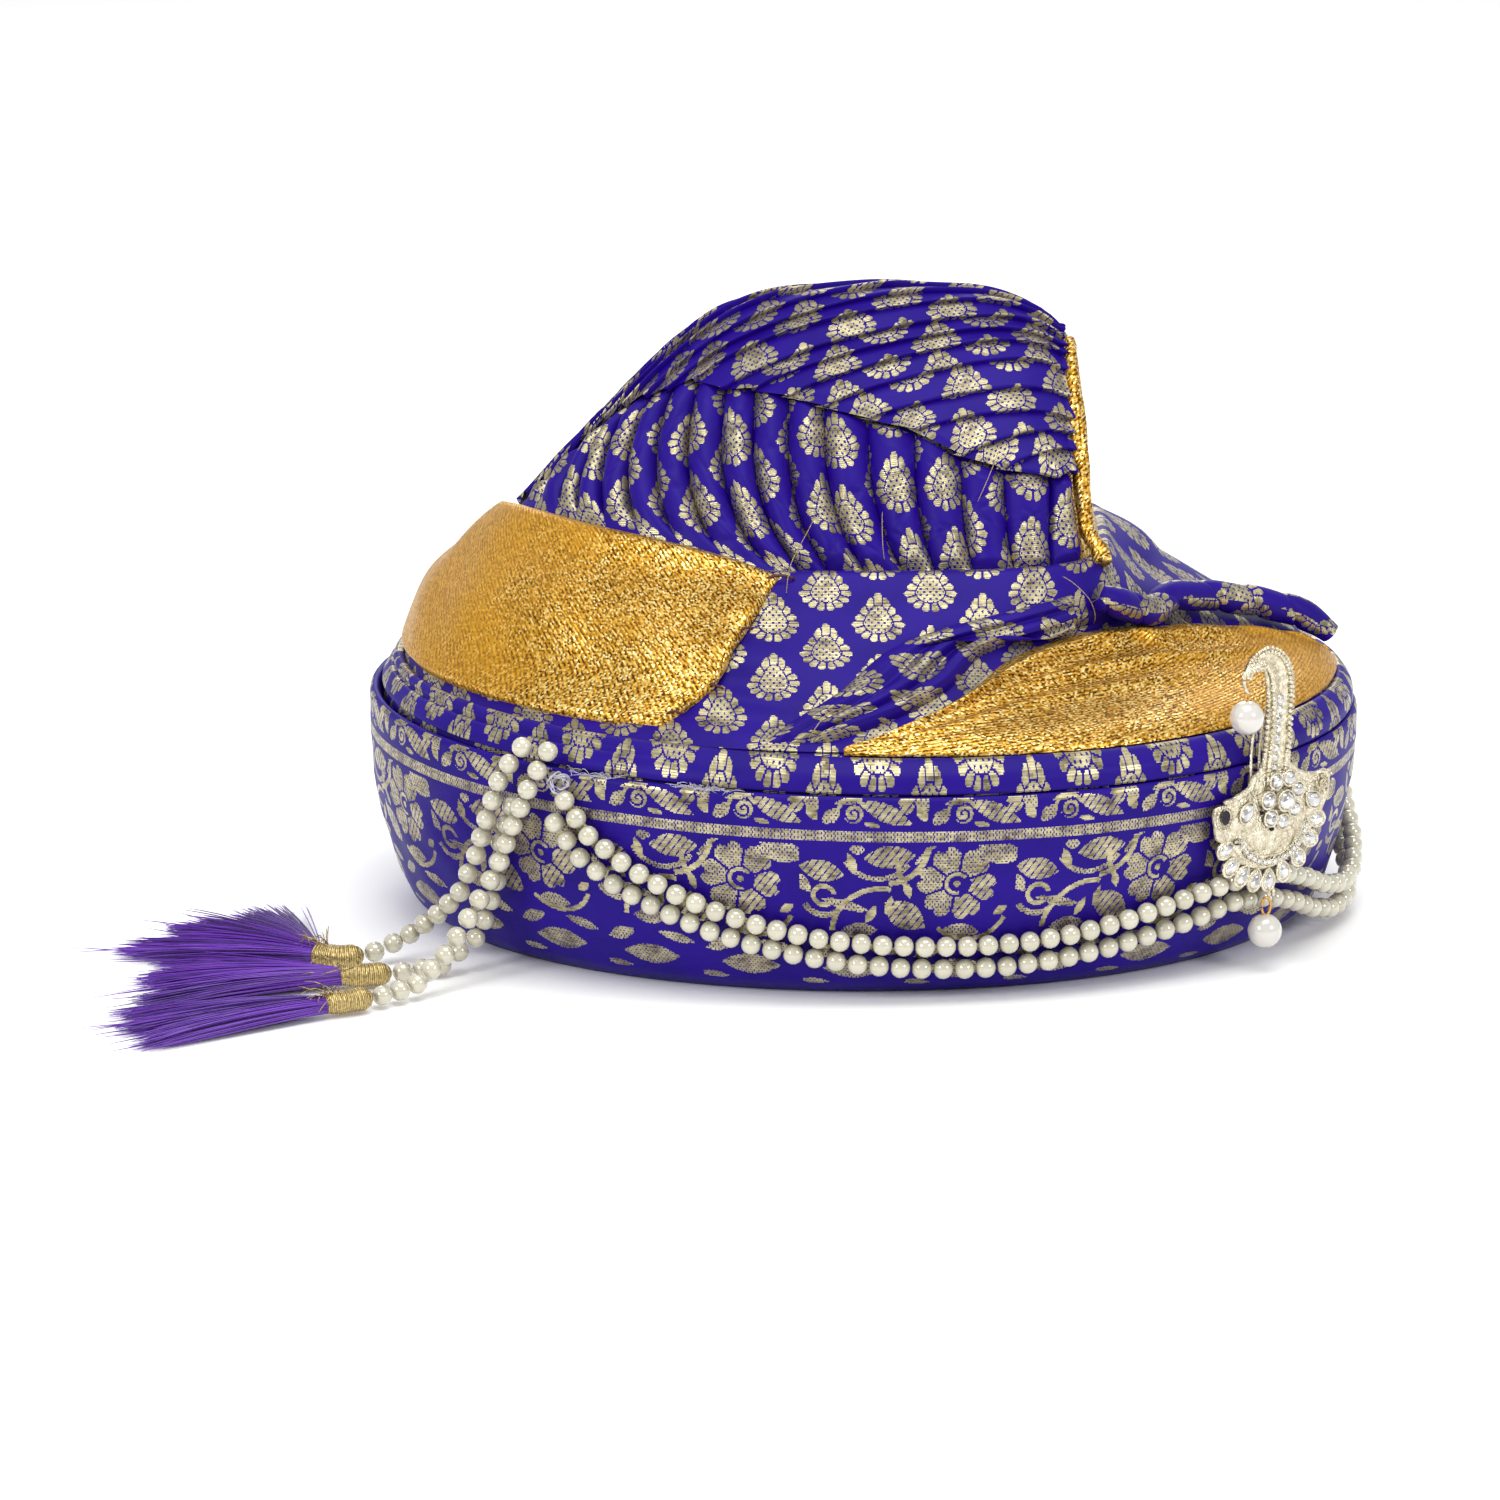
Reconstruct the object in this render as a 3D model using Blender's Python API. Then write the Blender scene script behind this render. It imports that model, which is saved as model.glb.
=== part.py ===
# A tied pagri, the pleated turban of silk brocade with a raised crest, lying with its pearl strings.
# X runs right, Y runs away from the front, Z runs up; the origin is on the surface it stands on.
import math

import bmesh
import bpy
import numpy as np
from mathutils import Vector

# The wound band round the head
BAND_LENGTH = 0.300
BAND_DEPTH = 0.240
BAND_SEAT_HEIGHT = 0.0577
BAND_LIP = 0.0032
BAND_LIP_RISE = 0.0083
BAND_LIP_TILT = 0.0025
BAND_WALL = 0.022
BAND_TUCK = 0.018
BAND_SEAT_WIDTH = 0.021
# The crown and its crest
TOTAL_HEIGHT = 0.1885
CROWN_WALL = 0.0032
CROWN_CAP_RISE = 0.0012
CREST_RECESS = 0.0058
PLEAT_CREST = 0.0012
PLEAT_DEPTH = 0.0026
FOLD_STEP = 0.0018
GUSSET_THICKNESS = 0.0014
MOUTH_ROLL_RADIUS = 0.0026
# Cloth laid on the crown
RIM_FOLD_HEIGHT = 0.0085
RIM_FOLD_THICKNESS = 0.0020
DOME_THICKNESS = 0.0014
GOLD_BAND_THICKNESS = 0.0020
GOLD_BAND_BRIDGE = 0.0016
DRAPE_FOLD_DEPTH = 0.0032
ROPE_RADIUS = 0.0043
# The pearl strings and tassels
PEARL_DIAMETER = 0.0062
BINDING_RADIUS = 0.0036
SKIRT_LENGTH = 0.060
SKIRT_LOCKS = 6
# The brooch and its drops
BROOCH_HEIGHT = 0.0695
BROOCH_THICKNESS = 0.0020
BROOCH_STANDOFF = 0.0036
BROOCH_ANGLE = -39.0
BROOCH_TURN = 38.0
BROOCH_FOOT = 0.0270
STONE_RISE = 0.0012
STONE_BURY = 0.0006
DROP_PEARL_RADIUS = 0.0051
DROP_PEARL_WIRE = 0.0008
UPPER_PEARL_HEIGHT = 0.0786
LOWER_PEARL_HEIGHT = 0.0122
PIN_THICKNESS = 0.0012

CLEARANCE = 0.0003
LAY_GAP = 0.0007
CREST_GAP = 0.0018
BINDING_GAP = 0.0010
COLUMNS = 48

# Half sizes that the crown's sections follow: the crown stands inside the band's lip.
CROWN_HALF_LENGTH = BAND_LENGTH / 2 - BAND_LIP - CLEARANCE
CROWN_HALF_DEPTH = BAND_DEPTH / 2 - BAND_LIP - CLEARANCE
CROWN_FOOT = BAND_SEAT_HEIGHT + CLEARANCE
CROWN_RISE = TOTAL_HEIGHT - CROWN_FOOT

# The crown's sections, one row for each level. Rise is a share of the crown's height, left and
# right are shares of its half length, near and far of its half depth, bulge of its half length.
# Square near and square far are the superellipse powers of the two right-hand quarters.
CROWN_SECTIONS = np.array([
    # rise, left, right, near, far, square near, square far, bulge
    (0.000, -1.000, 1.000, -1.000, 1.000, 2.0, 2.0, 0.000),
    (0.061, -0.993, 0.997, -0.991, 0.996, 2.0, 2.0, 0.000),
    (0.123, -0.962, 0.962, -0.910, 0.953, 1.9, 2.0, 0.000),
    (0.169, -0.942, 0.915, -0.815, 0.910, 1.5, 2.1, 0.000),
    (0.215, -0.922, 0.833, -0.747, 0.867, 1.45, 2.2, 0.000),
    (0.276, -0.894, 0.689, -0.652, 0.790, 1.6, 2.3, 0.055),
    (0.345, -0.836, 0.567, -0.532, 0.687, 2.8, 2.6, 0.096),
    (0.421, -0.778, 0.505, -0.395, 0.584, 4.0, 4.6, 0.000),
    (0.513, -0.693, 0.478, -0.326, 0.506, 4.0, 4.2, 0.000),
    (0.628, -0.597, 0.464, -0.249, 0.429, 4.0, 4.0, 0.000),
    (0.759, -0.485, 0.450, -0.146, 0.352, 3.8, 3.8, 0.000),
    (0.866, -0.386, 0.416, -0.052, 0.283, 3.2, 3.2, 0.000),
    (0.943, -0.283, 0.341, 0.017, 0.223, 2.6, 2.6, 0.000),
    (0.985, -0.137, 0.225, 0.060, 0.163, 2.2, 2.2, 0.000),
    (1.000, 0.027, 0.027, 0.107, 0.107, 2.0, 2.0, 0.000),
])
TOP_LEVEL = len(CROWN_SECTIONS) - 1
CREST_LEVEL = 7.0

# Upright pleats on the crest's near side, a row for each edge between two pleats, right to left:
# the angle and level where the edge ends at the top, and the angle at its foot.
PLEAT_EDGES = np.array([
    # top angle, top level, foot angle
    (-39.5, 8.62, -39.5), (-44.0, 8.62, -46.5), (-55.0, 8.88, -53.5), (-63.5, 9.12, -60.0),
    (-74.0, 9.50, -66.0), (-85.5, 9.68, -71.0), (-97.5, 9.88, -77.5), (-108.0, 10.05, -84.0),
    (-118.5, 10.15, -89.0), (-128.0, 10.15, -94.0), (-140.0, 10.30, -101.0), (-148.5, 10.10, -107.5),
    (-156.5, 9.95, -115.0), (-165.0, 9.75, -122.0), (-170.0, 9.50, -131.0), (-173.5, 9.20, -139.0),
    (-176.5, 8.50, -147.0), (-179.5, 8.00, -156.0),
])

# Overlapping pleats that run over the crest to its mouth, a row for each folded edge, from the near
# side over the ridge to the far side: the level and angle of the left end, and the share of the
# way from near foot to far foot where the edge meets the mouth.
CREST_EDGES = np.array([
    # level, angle, mouth share
    (8.76, -44.0, 0.186), (9.00, -55.0, 0.230), (9.24, -63.5, 0.262), (9.62, -74.0, 0.292),
    (9.80, -85.5, 0.335), (10.00, -97.5, 0.390), (10.17, -108.0, 0.423), (10.27, -118.5, 0.442),
    (10.27, -128.0, 0.465), (10.42, -140.0, 0.490), (10.22, -148.5, 0.515), (10.07, -156.5, 0.542),
    (9.87, -165.0, 0.570), (9.62, -170.0, 0.600), (9.32, -173.5, 0.632), (8.92, -177.0, 0.668),
    (8.52, -180.5, 0.706), (8.12, -184.5, 0.750), (7.82, -191.0, 0.805), (7.55, -200.0, 0.865),
    (7.30, -213.0, 0.930), (7.10, -228.0, 0.990),
])
# Where the crest's pleats end at the mouth: share of the way over, and distance right as a share
# of the crown's half length.
MOUTH_EDGE = np.array([
    (0.00, 0.452), (0.16, 0.417), (0.35, 0.410), (0.50, 0.396), (0.65, 0.410), (0.84, 0.436), (1.00, 0.452),
])
# The rolled edge along the mouth: level and angle of its centre line.
MOUTH_ROLL_ROUTE = np.array([
    (6.75, -36.0), (7.2, -34.0), (8.0, -32.0), (9.0, -30.0), (10.0, -27.0), (10.7, -18.0), (11.0, -8.0),
])

# The gold band round the left: a row for each station from its cut end to its hidden end, with
# the angle and level of its lower and its upper edge.
GOLD_BAND_STATIONS = np.array([
    # lower angle, lower level, upper angle, upper level
    (-115.5, 2.40, -92.5, 6.85), (-122.0, 2.40, -101.0, 7.22), (-130.0, 2.42, -113.0, 7.52),
    (-139.0, 2.50, -126.0, 7.70), (-149.0, 2.55, -140.0, 7.80), (-160.0, 2.60, -154.0, 7.85),
    (-172.0, 2.75, -169.0, 7.80), (-184.0, 2.90, -183.0, 7.60), (-196.0, 3.00, -196.0, 7.15),
    (-208.0, 3.00, -208.0, 6.70), (-221.0, 3.00, -221.0, 6.20), (-234.0, 3.00, -234.0, 5.60),
    (-246.0, 3.00, -246.0, 4.90),
])

# The gold dome's upper edge and the gathered drape above it: angle and level.
DOME_EDGE = np.array([
    (-93.0, 1.95), (-86.0, 2.55), (-77.5, 3.34), (-64.0, 4.40), (-48.5, 4.84), (-38.0, 4.90),
    (-30.0, 4.72), (-18.0, 4.38), (-9.0, 3.85), (-3.5, 3.20), (-0.5, 2.45), (1.0, 1.95),
])
DRAPE_FOLDS = np.array([
    # lower edge's angle and level, upper edge's angle and level
    (-94.5, 2.20, -103.0, 2.10), (-87.0, 2.85, -95.0, 3.50), (-78.5, 3.65, -86.0, 4.55),
    (-65.5, 4.70, -73.0, 5.45), (-52.5, 5.10, -58.5, 5.95), (-45.0, 5.28, -45.0, 6.25),
])
# The rolled edge of the far cloth over the dome: angle and level.
ROPE_ROUTE = np.array([
    (-41.0, 5.95), (-35.0, 5.72), (-30.0, 5.48), (-20.0, 5.08), (-11.0, 4.72), (-3.0, 4.05),
    (1.0, 3.20), (3.0, 2.35),
])

# Chosen points of the pearl strings, from where each is sewn on: right as a share of the band's half
# length, away as a share of its half depth, and up as a share of its seat's height.
SWAG_UPPER_ROUTE = (
    (-0.599, -0.829, 1.040), (-0.573, -0.853, 0.915), (-0.501, -0.888, 0.742),
    (-0.333, -0.943, 0.516), (-0.097, -0.974, 0.354), (0.191, -0.957, 0.302),
    (0.421, -0.888, 0.336), (0.617, -0.783, 0.442), (0.747, -0.679, 0.503),
    (0.845, -0.533, 0.437), (0.911, -0.392, 0.295), (0.960, -0.267, 0.222),
    (0.993, -0.125, 0.246), (0.997, 0.025, 0.373), (0.967, 0.217, 0.572),
    (0.907, 0.417, 0.780),
)
SWAG_LOWER_ROUTE = (
    (-0.621, -0.817, 0.915), (-0.578, -0.841, 0.749), (-0.494, -0.878, 0.575),
    (-0.273, -0.939, 0.340), (-0.038, -0.965, 0.218), (0.195, -0.938, 0.173),
    (0.405, -0.875, 0.205), (0.618, -0.758, 0.303), (0.727, -0.667, 0.367),
    (0.820, -0.546, 0.315), (0.880, -0.425, 0.194), (0.933, -0.317, 0.111),
    (0.977, -0.175, 0.107), (0.985, -0.017, 0.194), (0.963, 0.192, 0.390),
    (0.907, 0.375, 0.589),
)
STRING_FRONT_ROUTE = (
    (-0.612, -0.826, 1.296), (-0.643, -0.829, 1.158), (-0.677, -0.821, 0.953),
    (-0.706, -0.781, 0.742), (-0.723, -0.767, 0.607), (-0.748, -0.775, 0.463),
    (-0.773, -0.792, 0.383), (-0.793, -0.813, 0.298), (-0.813, -0.833, 0.229),
    (-0.837, -0.862, 0.153), (-0.867, -0.900, 0.090), (-0.900, -0.942, 0.059),
    (-0.960, -1.000, 0.059),
)
STRING_LEFT_ROUTE = (
    (-0.660, -0.797, 1.296), (-0.700, -0.788, 1.179), (-0.727, -0.777, 1.019),
    (-0.749, -0.750, 0.806), (-0.771, -0.717, 0.603), (-0.800, -0.704, 0.428),
    (-0.832, -0.667, 0.329), (-0.863, -0.629, 0.234), (-0.900, -0.596, 0.147),
    (-0.940, -0.592, 0.087), (-0.990, -0.646, 0.059),
)
STRING_BACK_ROUTE = (
    (-0.673, -0.746, 0.971), (-0.688, -0.733, 0.849),
    (-0.707, -0.708, 0.693), (-0.723, -0.696, 0.520), (-0.740, -0.683, 0.347),
    (-0.760, -0.675, 0.208), (-0.787, -0.683, 0.104), (-0.820, -0.708, 0.059),
    (-0.867, -0.754, 0.059), (-0.930, -0.796, 0.059),
)


def clear_scene():
    for ob in list(bpy.data.objects):
        bpy.data.objects.remove(ob, do_unlink=True)


def linear_colour(hex_code):
    channels = [int(hex_code[i:i + 2], 16) / 255 for i in (0, 2, 4)]
    return [c / 12.92 if c <= 0.04045 else ((c + 0.055) / 1.055) ** 2.4 for c in channels] + [1.0]


def make_material(name, hex_code, roughness, metallic=0.0):
    mat = bpy.data.materials.new(name)
    mat.use_nodes = True
    shader = mat.node_tree.nodes["Principled BSDF"]
    shader.inputs["Base Color"].default_value = linear_colour(hex_code)
    shader.inputs["Roughness"].default_value = roughness
    shader.inputs["Metallic"].default_value = metallic
    mat.diffuse_color = linear_colour(hex_code)
    return mat


def add_object(name, points, faces, mat, sharp_degrees=50.0):
    """One object from points and faces, with its faces turned outward and smooth shading."""
    mesh = bpy.data.meshes.new(name)
    mesh.from_pydata([tuple(p) for p in np.asarray(points, float)], [], faces)
    bm = bmesh.new()
    bm.from_mesh(mesh)
    bmesh.ops.remove_doubles(bm, verts=bm.verts, dist=1e-6)
    bmesh.ops.recalc_face_normals(bm, faces=bm.faces)
    bm.to_mesh(mesh)
    bm.free()
    mesh.shade_smooth()
    mesh.set_sharp_from_angle(angle=math.radians(sharp_degrees))
    mesh.materials.append(mat)
    ob = bpy.data.objects.new(name, mesh)
    bpy.context.scene.collection.objects.link(ob)
    return ob


def cubic_rows(table, where):
    """Rows of a table read between its rows, on a cubic that doesn't overshoot them."""
    table = np.asarray(table, float)
    where = np.clip(np.asarray(where, float), 0, len(table) - 1)
    i = np.minimum(np.floor(where).astype(int), len(table) - 2)
    f = (where - i)[..., None]
    steps = np.diff(table, axis=0)
    before = np.vstack([steps[:1], steps])
    after = np.vstack([steps, steps[-1:]])
    both = before + after
    slope = np.where(before * after > 0, 2 * before * after / np.where(both == 0, 1, both), 0)
    a, b = table[i], table[i + 1]
    return ((2 * f**3 - 3 * f**2 + 1) * a + (f**3 - 2 * f**2 + f) * slope[i]
            + (3 * f**2 - 2 * f**3) * b + (f**3 - f**2) * slope[i + 1])


def crown_section(level):
    """Size of the crown's section at a level: height, centre, half sizes, powers and bulge."""
    rise, left, right, near, far, square_near, square_far, bulge = np.moveaxis(
        cubic_rows(CROWN_SECTIONS, level), -1, 0)
    height = CROWN_FOOT + CROWN_RISE * rise
    centre_x = CROWN_HALF_LENGTH * (left + right) / 2
    half_x = CROWN_HALF_LENGTH * (right - left) / 2
    centre_y = CROWN_HALF_DEPTH * (near + far) / 2
    half_y = CROWN_HALF_DEPTH * (far - near) / 2
    return height, centre_x, half_x, centre_y, half_y, square_near, square_far, CROWN_HALF_LENGTH * bulge


def crown_bare(angle, level):
    angle, level = np.broadcast_arrays(np.asarray(angle, float), np.asarray(level, float))
    height, centre_x, half_x, centre_y, half_y, square_near, square_far, bulge = crown_section(level)
    c, s = np.cos(np.radians(angle)), np.sin(np.radians(angle))
    power = np.where(c > 0, np.where(s < 0, square_near, square_far), 2.0)
    reach = (np.abs(c) ** power + np.abs(s) ** power) ** (1 / power)
    x = centre_x + half_x * c / reach + bulge * 2 * np.maximum(c, 0) * np.maximum(s, 0)
    return np.stack([x, centre_y + half_y * s / reach, height], -1)


def crown_point(angle, level, lift=0.0):
    """Point of the crown's outer form at an angle and a level, lifted off it along its normal."""
    around = crown_bare(np.add(angle, 0.5), level) - crown_bare(np.subtract(angle, 0.5), level)
    up = crown_bare(angle, np.minimum(np.add(level, 0.05), TOP_LEVEL - 0.02)) - crown_bare(
        angle, np.maximum(np.subtract(level, 0.05), 0))
    normal = np.cross(around, up)
    normal /= np.linalg.norm(normal, axis=-1, keepdims=True)
    return crown_bare(angle, level) + normal * np.asarray(lift, float)[..., None]


def angle_level(point):
    """Angle and level of the crown's form nearest above or below a point that lies on it."""
    levels = np.linspace(0, TOP_LEVEL, 281)
    level = np.interp(point[2], crown_section(levels)[0], levels)
    _, centre_x, half_x, centre_y, half_y, *_ = crown_section(level)
    angle = math.degrees(math.atan2((point[1] - centre_y) / half_y, (point[0] - centre_x) / half_x))
    return (angle if angle < 90 else angle - 360), float(level)


def crest_slice(x, count=48):
    """The crest cut at one distance right: points at even steps from near foot over to far foot."""
    levels = np.linspace(CREST_LEVEL, TOP_LEVEL - 0.001, 220)
    height, centre_x, half_x, centre_y, half_y, square_near, square_far, _ = crown_section(levels)
    c = (x - centre_x) / half_x
    inside = np.abs(c) < 1
    c, height, centre_y, half_y = c[inside], height[inside], centre_y[inside], half_y[inside]
    near_power = np.where(c > 0, square_near[inside], 2.0)
    far_power = np.where(c > 0, square_far[inside], 2.0)
    near = centre_y - half_y * (1 - np.abs(c) ** near_power) ** (1 / near_power)
    far = centre_y + half_y * (1 - np.abs(c) ** far_power) ** (1 / far_power)
    y = np.concatenate([near, far[::-1]])
    z = np.concatenate([height, height[::-1]])
    run = np.concatenate([[0], np.cumsum(np.hypot(np.diff(y), np.diff(z)))])
    at = np.linspace(0, run[-1], count)
    return np.stack([np.full(count, x), np.interp(at, run, y), np.interp(at, run, z)], -1)


def crest_point(x, share, lift=0.0):
    """Point of the crest at a distance right and a share of the way over it, lifted off its form."""
    step = 0.0015
    here, before, after = crest_slice(x), crest_slice(x - step), crest_slice(x + step)
    stations = np.linspace(0, 1, len(here))

    def read(curve, at):
        return np.array([np.interp(at, stations, curve[:, k]) for k in range(3)])

    over = read(here, min(share + 0.02, 1)) - read(here, max(share - 0.02, 0))
    along = read(after, share) - read(before, share)
    normal = np.cross(along, over)
    normal /= np.linalg.norm(normal)
    return read(here, share) + normal * lift


def crest_share(x, height):
    """Share of the way over the crest where its near side reaches a height."""
    curve = crest_slice(x)
    top = int(np.argmax(curve[:, 2]))
    return float(np.interp(height, curve[:top + 1, 2], np.linspace(0, top / (len(curve) - 1), top + 1)))


def band_lip_height(angle):
    a = np.radians(angle)
    return BAND_SEAT_HEIGHT + BAND_LIP_RISE - BAND_LIP_TILT * (np.cos(a) - np.sin(a))


def band_offset(share):
    """How far the band's face lies inside its widest line, for a share of the seat's height."""
    inside = np.interp(share, (0, 0.07, 0.21, 0.48, 0.73, 0.94, 1.0), (1, 0.67, 0.44, 0.22, 0.055, 0, 0.01))
    return -BAND_TUCK * inside


def ring_point(angle, inward, height):
    a = np.radians(angle)
    return np.stack([(BAND_LENGTH / 2 + inward) * np.cos(a), (BAND_DEPTH / 2 + inward) * np.sin(a),
                     height + 0 * a], -1)


def grid_faces(rows, columns, start=0, wrap=False):
    faces = []
    for i in range(rows - 1):
        for j in range(columns if wrap else columns - 1):
            k = (j + 1) % columns
            faces.append((start + i * columns + j, start + i * columns + k,
                          start + (i + 1) * columns + k, start + (i + 1) * columns + j))
    return faces


def sheet_solid(name, outer, inner, mat, wrap=False):
    """A closed solid between two grids of points; wrap joins the last column to the first."""
    outer, inner = np.asarray(outer), np.asarray(inner)
    rows, columns = outer.shape[:2]
    count = rows * columns
    faces = grid_faces(rows, columns, 0, wrap)
    faces += [f[::-1] for f in grid_faces(rows, columns, count, wrap)]
    for i in (0, rows - 1):
        for j in range(columns if wrap else columns - 1):
            k = (j + 1) % columns
            faces.append((i * columns + j, i * columns + k, count + i * columns + k, count + i * columns + j))
    if not wrap:
        for j in (0, columns - 1):
            for i in range(rows - 1):
                faces.append((i * columns + j, (i + 1) * columns + j,
                              count + (i + 1) * columns + j, count + i * columns + j))
    points = np.concatenate([outer.reshape(-1, 3), inner.reshape(-1, 3)])
    return add_object(name, points, faces, mat)


def loop_angles():
    return np.arange(COLUMNS) * 360 / COLUMNS


def smooth_route(points, spacing):
    """Points at even spacing on a Catmull-Rom curve through the chosen points."""
    points = np.asarray(points, float)
    ends = np.vstack([2 * points[0] - points[1], points, 2 * points[-1] - points[-2]])
    fine = []
    for i in range(1, len(ends) - 2):
        a, b, c, d = ends[i - 1:i + 3]
        for t in np.linspace(0, 1, 12, endpoint=False):
            fine.append(0.5 * (2 * b + (c - a) * t + (2 * a - 5 * b + 4 * c - d) * t**2
                               + (3 * b - a - 3 * c + d) * t**3))
    fine = np.array(fine + [points[-1]])
    run = np.concatenate([[0], np.cumsum(np.linalg.norm(np.diff(fine, axis=0), axis=1))])
    count = max(3, int(round(run[-1] / spacing)) + 1)
    at = np.linspace(0, run[-1], count)
    return np.stack([np.interp(at, run, fine[:, k]) for k in range(3)], -1)


def swept_solid(name, route, radii, mat, sides=8):
    """A round bar along a route, its radius given at each point, closed by flat ends."""
    route = np.asarray(route, float)
    ahead = np.gradient(route, axis=0)
    ahead /= np.linalg.norm(ahead, axis=1, keepdims=True)
    side = np.cross(ahead, (0, 0, 1))
    side /= np.linalg.norm(side, axis=1, keepdims=True)
    up = np.cross(side, ahead)
    turn = np.arange(sides) * 2 * math.pi / sides
    radii = np.broadcast_to(np.asarray(radii, float), (len(route),))
    rings = (route[:, None] + radii[:, None, None] * (np.cos(turn)[None, :, None] * side[:, None]
                                                      + np.sin(turn)[None, :, None] * up[:, None]))
    faces = grid_faces(len(route), sides, 0, True)
    faces.append(tuple(range(sides)))
    faces.append(tuple((len(route) - 1) * sides + k for k in range(sides)))
    return add_object(name, rings.reshape(-1, 3), faces, mat)


def base_band(mat):
    """The wound ring: a bulging face, a lip the crown stands inside, a flat seat and a flat foot."""
    angles = loop_angles()
    lip = band_lip_height(angles)
    seat = BAND_SEAT_HEIGHT
    shares = (0, 0.07, 0.21, 0.48, 0.73, 0.94)
    face = [(band_offset(share), np.full(COLUMNS, seat * share)) for share in shares]
    profile = face + [
        (-0.0002, lip - 0.0015),
        (-0.0010, lip),
        (-BAND_LIP, lip),
        (-BAND_LIP, np.full(COLUMNS, seat)),
        (-BAND_LIP - BAND_SEAT_WIDTH, np.full(COLUMNS, seat)),
        (-BAND_TUCK - BAND_WALL * 0.80, np.full(COLUMNS, seat * 0.55)),
        (-BAND_TUCK - BAND_WALL, np.zeros(COLUMNS)),
    ]
    rings = np.array([ring_point(angles, inward, height) for inward, height in profile])
    faces = grid_faces(len(profile), COLUMNS, 0, True)
    last = (len(profile) - 1) * COLUMNS
    faces += [(j, (j + 1) % COLUMNS, last + (j + 1) % COLUMNS, last + j) for j in range(COLUMNS)]
    return add_object("base_band", rings.reshape(-1, 3), faces, mat, 40.0)


def crown_shell(mat):
    """The crown's cloth wall: open below, stepped in above the crest's foot to carry the pleats."""
    angles = loop_angles()
    levels = (0, 0.8, 1.4, 2, 2.5, 3, 4, 5, 6, CREST_LEVEL - 0.02, CREST_LEVEL + 0.03, 8, 9, 10, 11, 12, 13)
    inner_levels = (0, 2, 4, 5, 6, CREST_LEVEL + 0.03, 9, 11, 13)
    outer, inner = [], []
    for level in levels:
        step = -CREST_RECESS if level > CREST_LEVEL else 0.0
        ring = crown_point(angles, level, np.full(COLUMNS, step))
        wall = crown_point(angles, level, np.full(COLUMNS, step - CROWN_WALL))
        if level == 0:
            ring[:, 2] = wall[:, 2] = CROWN_FOOT
        outer.append(ring)
        if level in inner_levels:
            inner.append(wall)
    outer, inner = np.array(outer), np.array(inner)
    points = list(outer.reshape(-1, 3)) + list(inner.reshape(-1, 3))
    first = len(outer) * COLUMNS
    faces = grid_faces(len(outer), COLUMNS, 0, True)
    faces += [f[::-1] for f in grid_faces(len(inner), COLUMNS, first, True)]
    faces += [(j, (j + 1) % COLUMNS, first + (j + 1) % COLUMNS, first + j) for j in range(COLUMNS)]
    for rings, start in ((outer, 0), (inner, first)):
        top = rings[-1].mean(axis=0) + np.array([0, 0, CROWN_CAP_RISE])
        points.append(top)
        last = start + (len(rings) - 1) * COLUMNS
        faces += [(last + j, last + (j + 1) % COLUMNS, len(points) - 1) for j in range(COLUMNS)]
    return add_object("crown_shell", np.array(points), faces, mat)


def rim_level(angle, rise):
    """Level of the crown's form at a height above the band's lip."""
    levels = np.linspace(0, 4, 81)
    return np.interp(band_lip_height(angle) + rise, crown_section(levels)[0], levels)


def rim_fold(mat):
    """The strip of plain cloth that shows above the band's edge."""
    angles = loop_angles()
    low = rim_level(angles, CLEARANCE + 0.0002)
    high = rim_level(angles, RIM_FOLD_HEIGHT)
    outer, inner = [], []
    for t, thickness in ((0, 1.0), (0.45, 1.0), (1.0, 0.7)):
        level = low + (high - low) * t
        outer.append(crown_point(angles, level, np.full(COLUMNS, LAY_GAP + RIM_FOLD_THICKNESS * thickness)))
        inner.append(crown_point(angles, level, np.full(COLUMNS, LAY_GAP)))
    return sheet_solid("rim_fold", outer, inner, mat, wrap=True)


def gold_band_top(angle):
    """Level of the gold band's upper edge at an angle, or none of it past its two ends."""
    table = GOLD_BAND_STATIONS[::-1]
    return np.interp(angle, table[:, 2], table[:, 3], left=0, right=0)


def tucked(lift, angle, level):
    """Lift of a pleat, pressed down where the gold band lies over its foot."""
    under = np.clip((level - gold_band_top(angle) - 0.12) / 0.35, 0, 1)
    flat = -CLEARANCE - 0.0004
    return flat + (lift - flat) * under


def side_pleats(mat):
    """Upright rolls on the crest's near side, each between two rows of the table of edges."""
    samples = (0.0, 0.25, 0.75)
    rows = np.arange(len(PLEAT_EDGES))
    across = np.array([i + t for i in rows[:-1] for t in samples] + [rows[-1]])
    top_angle, top_level, foot_angle = (np.interp(across, rows, PLEAT_EDGES[:, k]) for k in range(3))
    roll = np.abs(np.sin(math.pi * across)) ** 0.6
    outer, inner = [], []
    for v in (0.0, 0.14, 0.5, 0.96, 1.0):
        angle = foot_angle + (top_angle - foot_angle) * v
        level = CREST_LEVEL + 0.10 + (top_level - CREST_LEVEL - 0.10) * v
        swell = np.interp(v, (0, 0.14, 0.5, 1.0), (0.25, 0.8, 1.0, 0.9))
        lift = (PLEAT_CREST + PLEAT_DEPTH) * swell * roll - PLEAT_DEPTH
        outer.append(crown_point(angle, level, tucked(lift, angle, level)))
        inner.append(crown_point(angle, level, np.full(len(across), CREST_GAP - CREST_RECESS)))
    return sheet_solid("side_pleats", outer, inner, mat)


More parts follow.
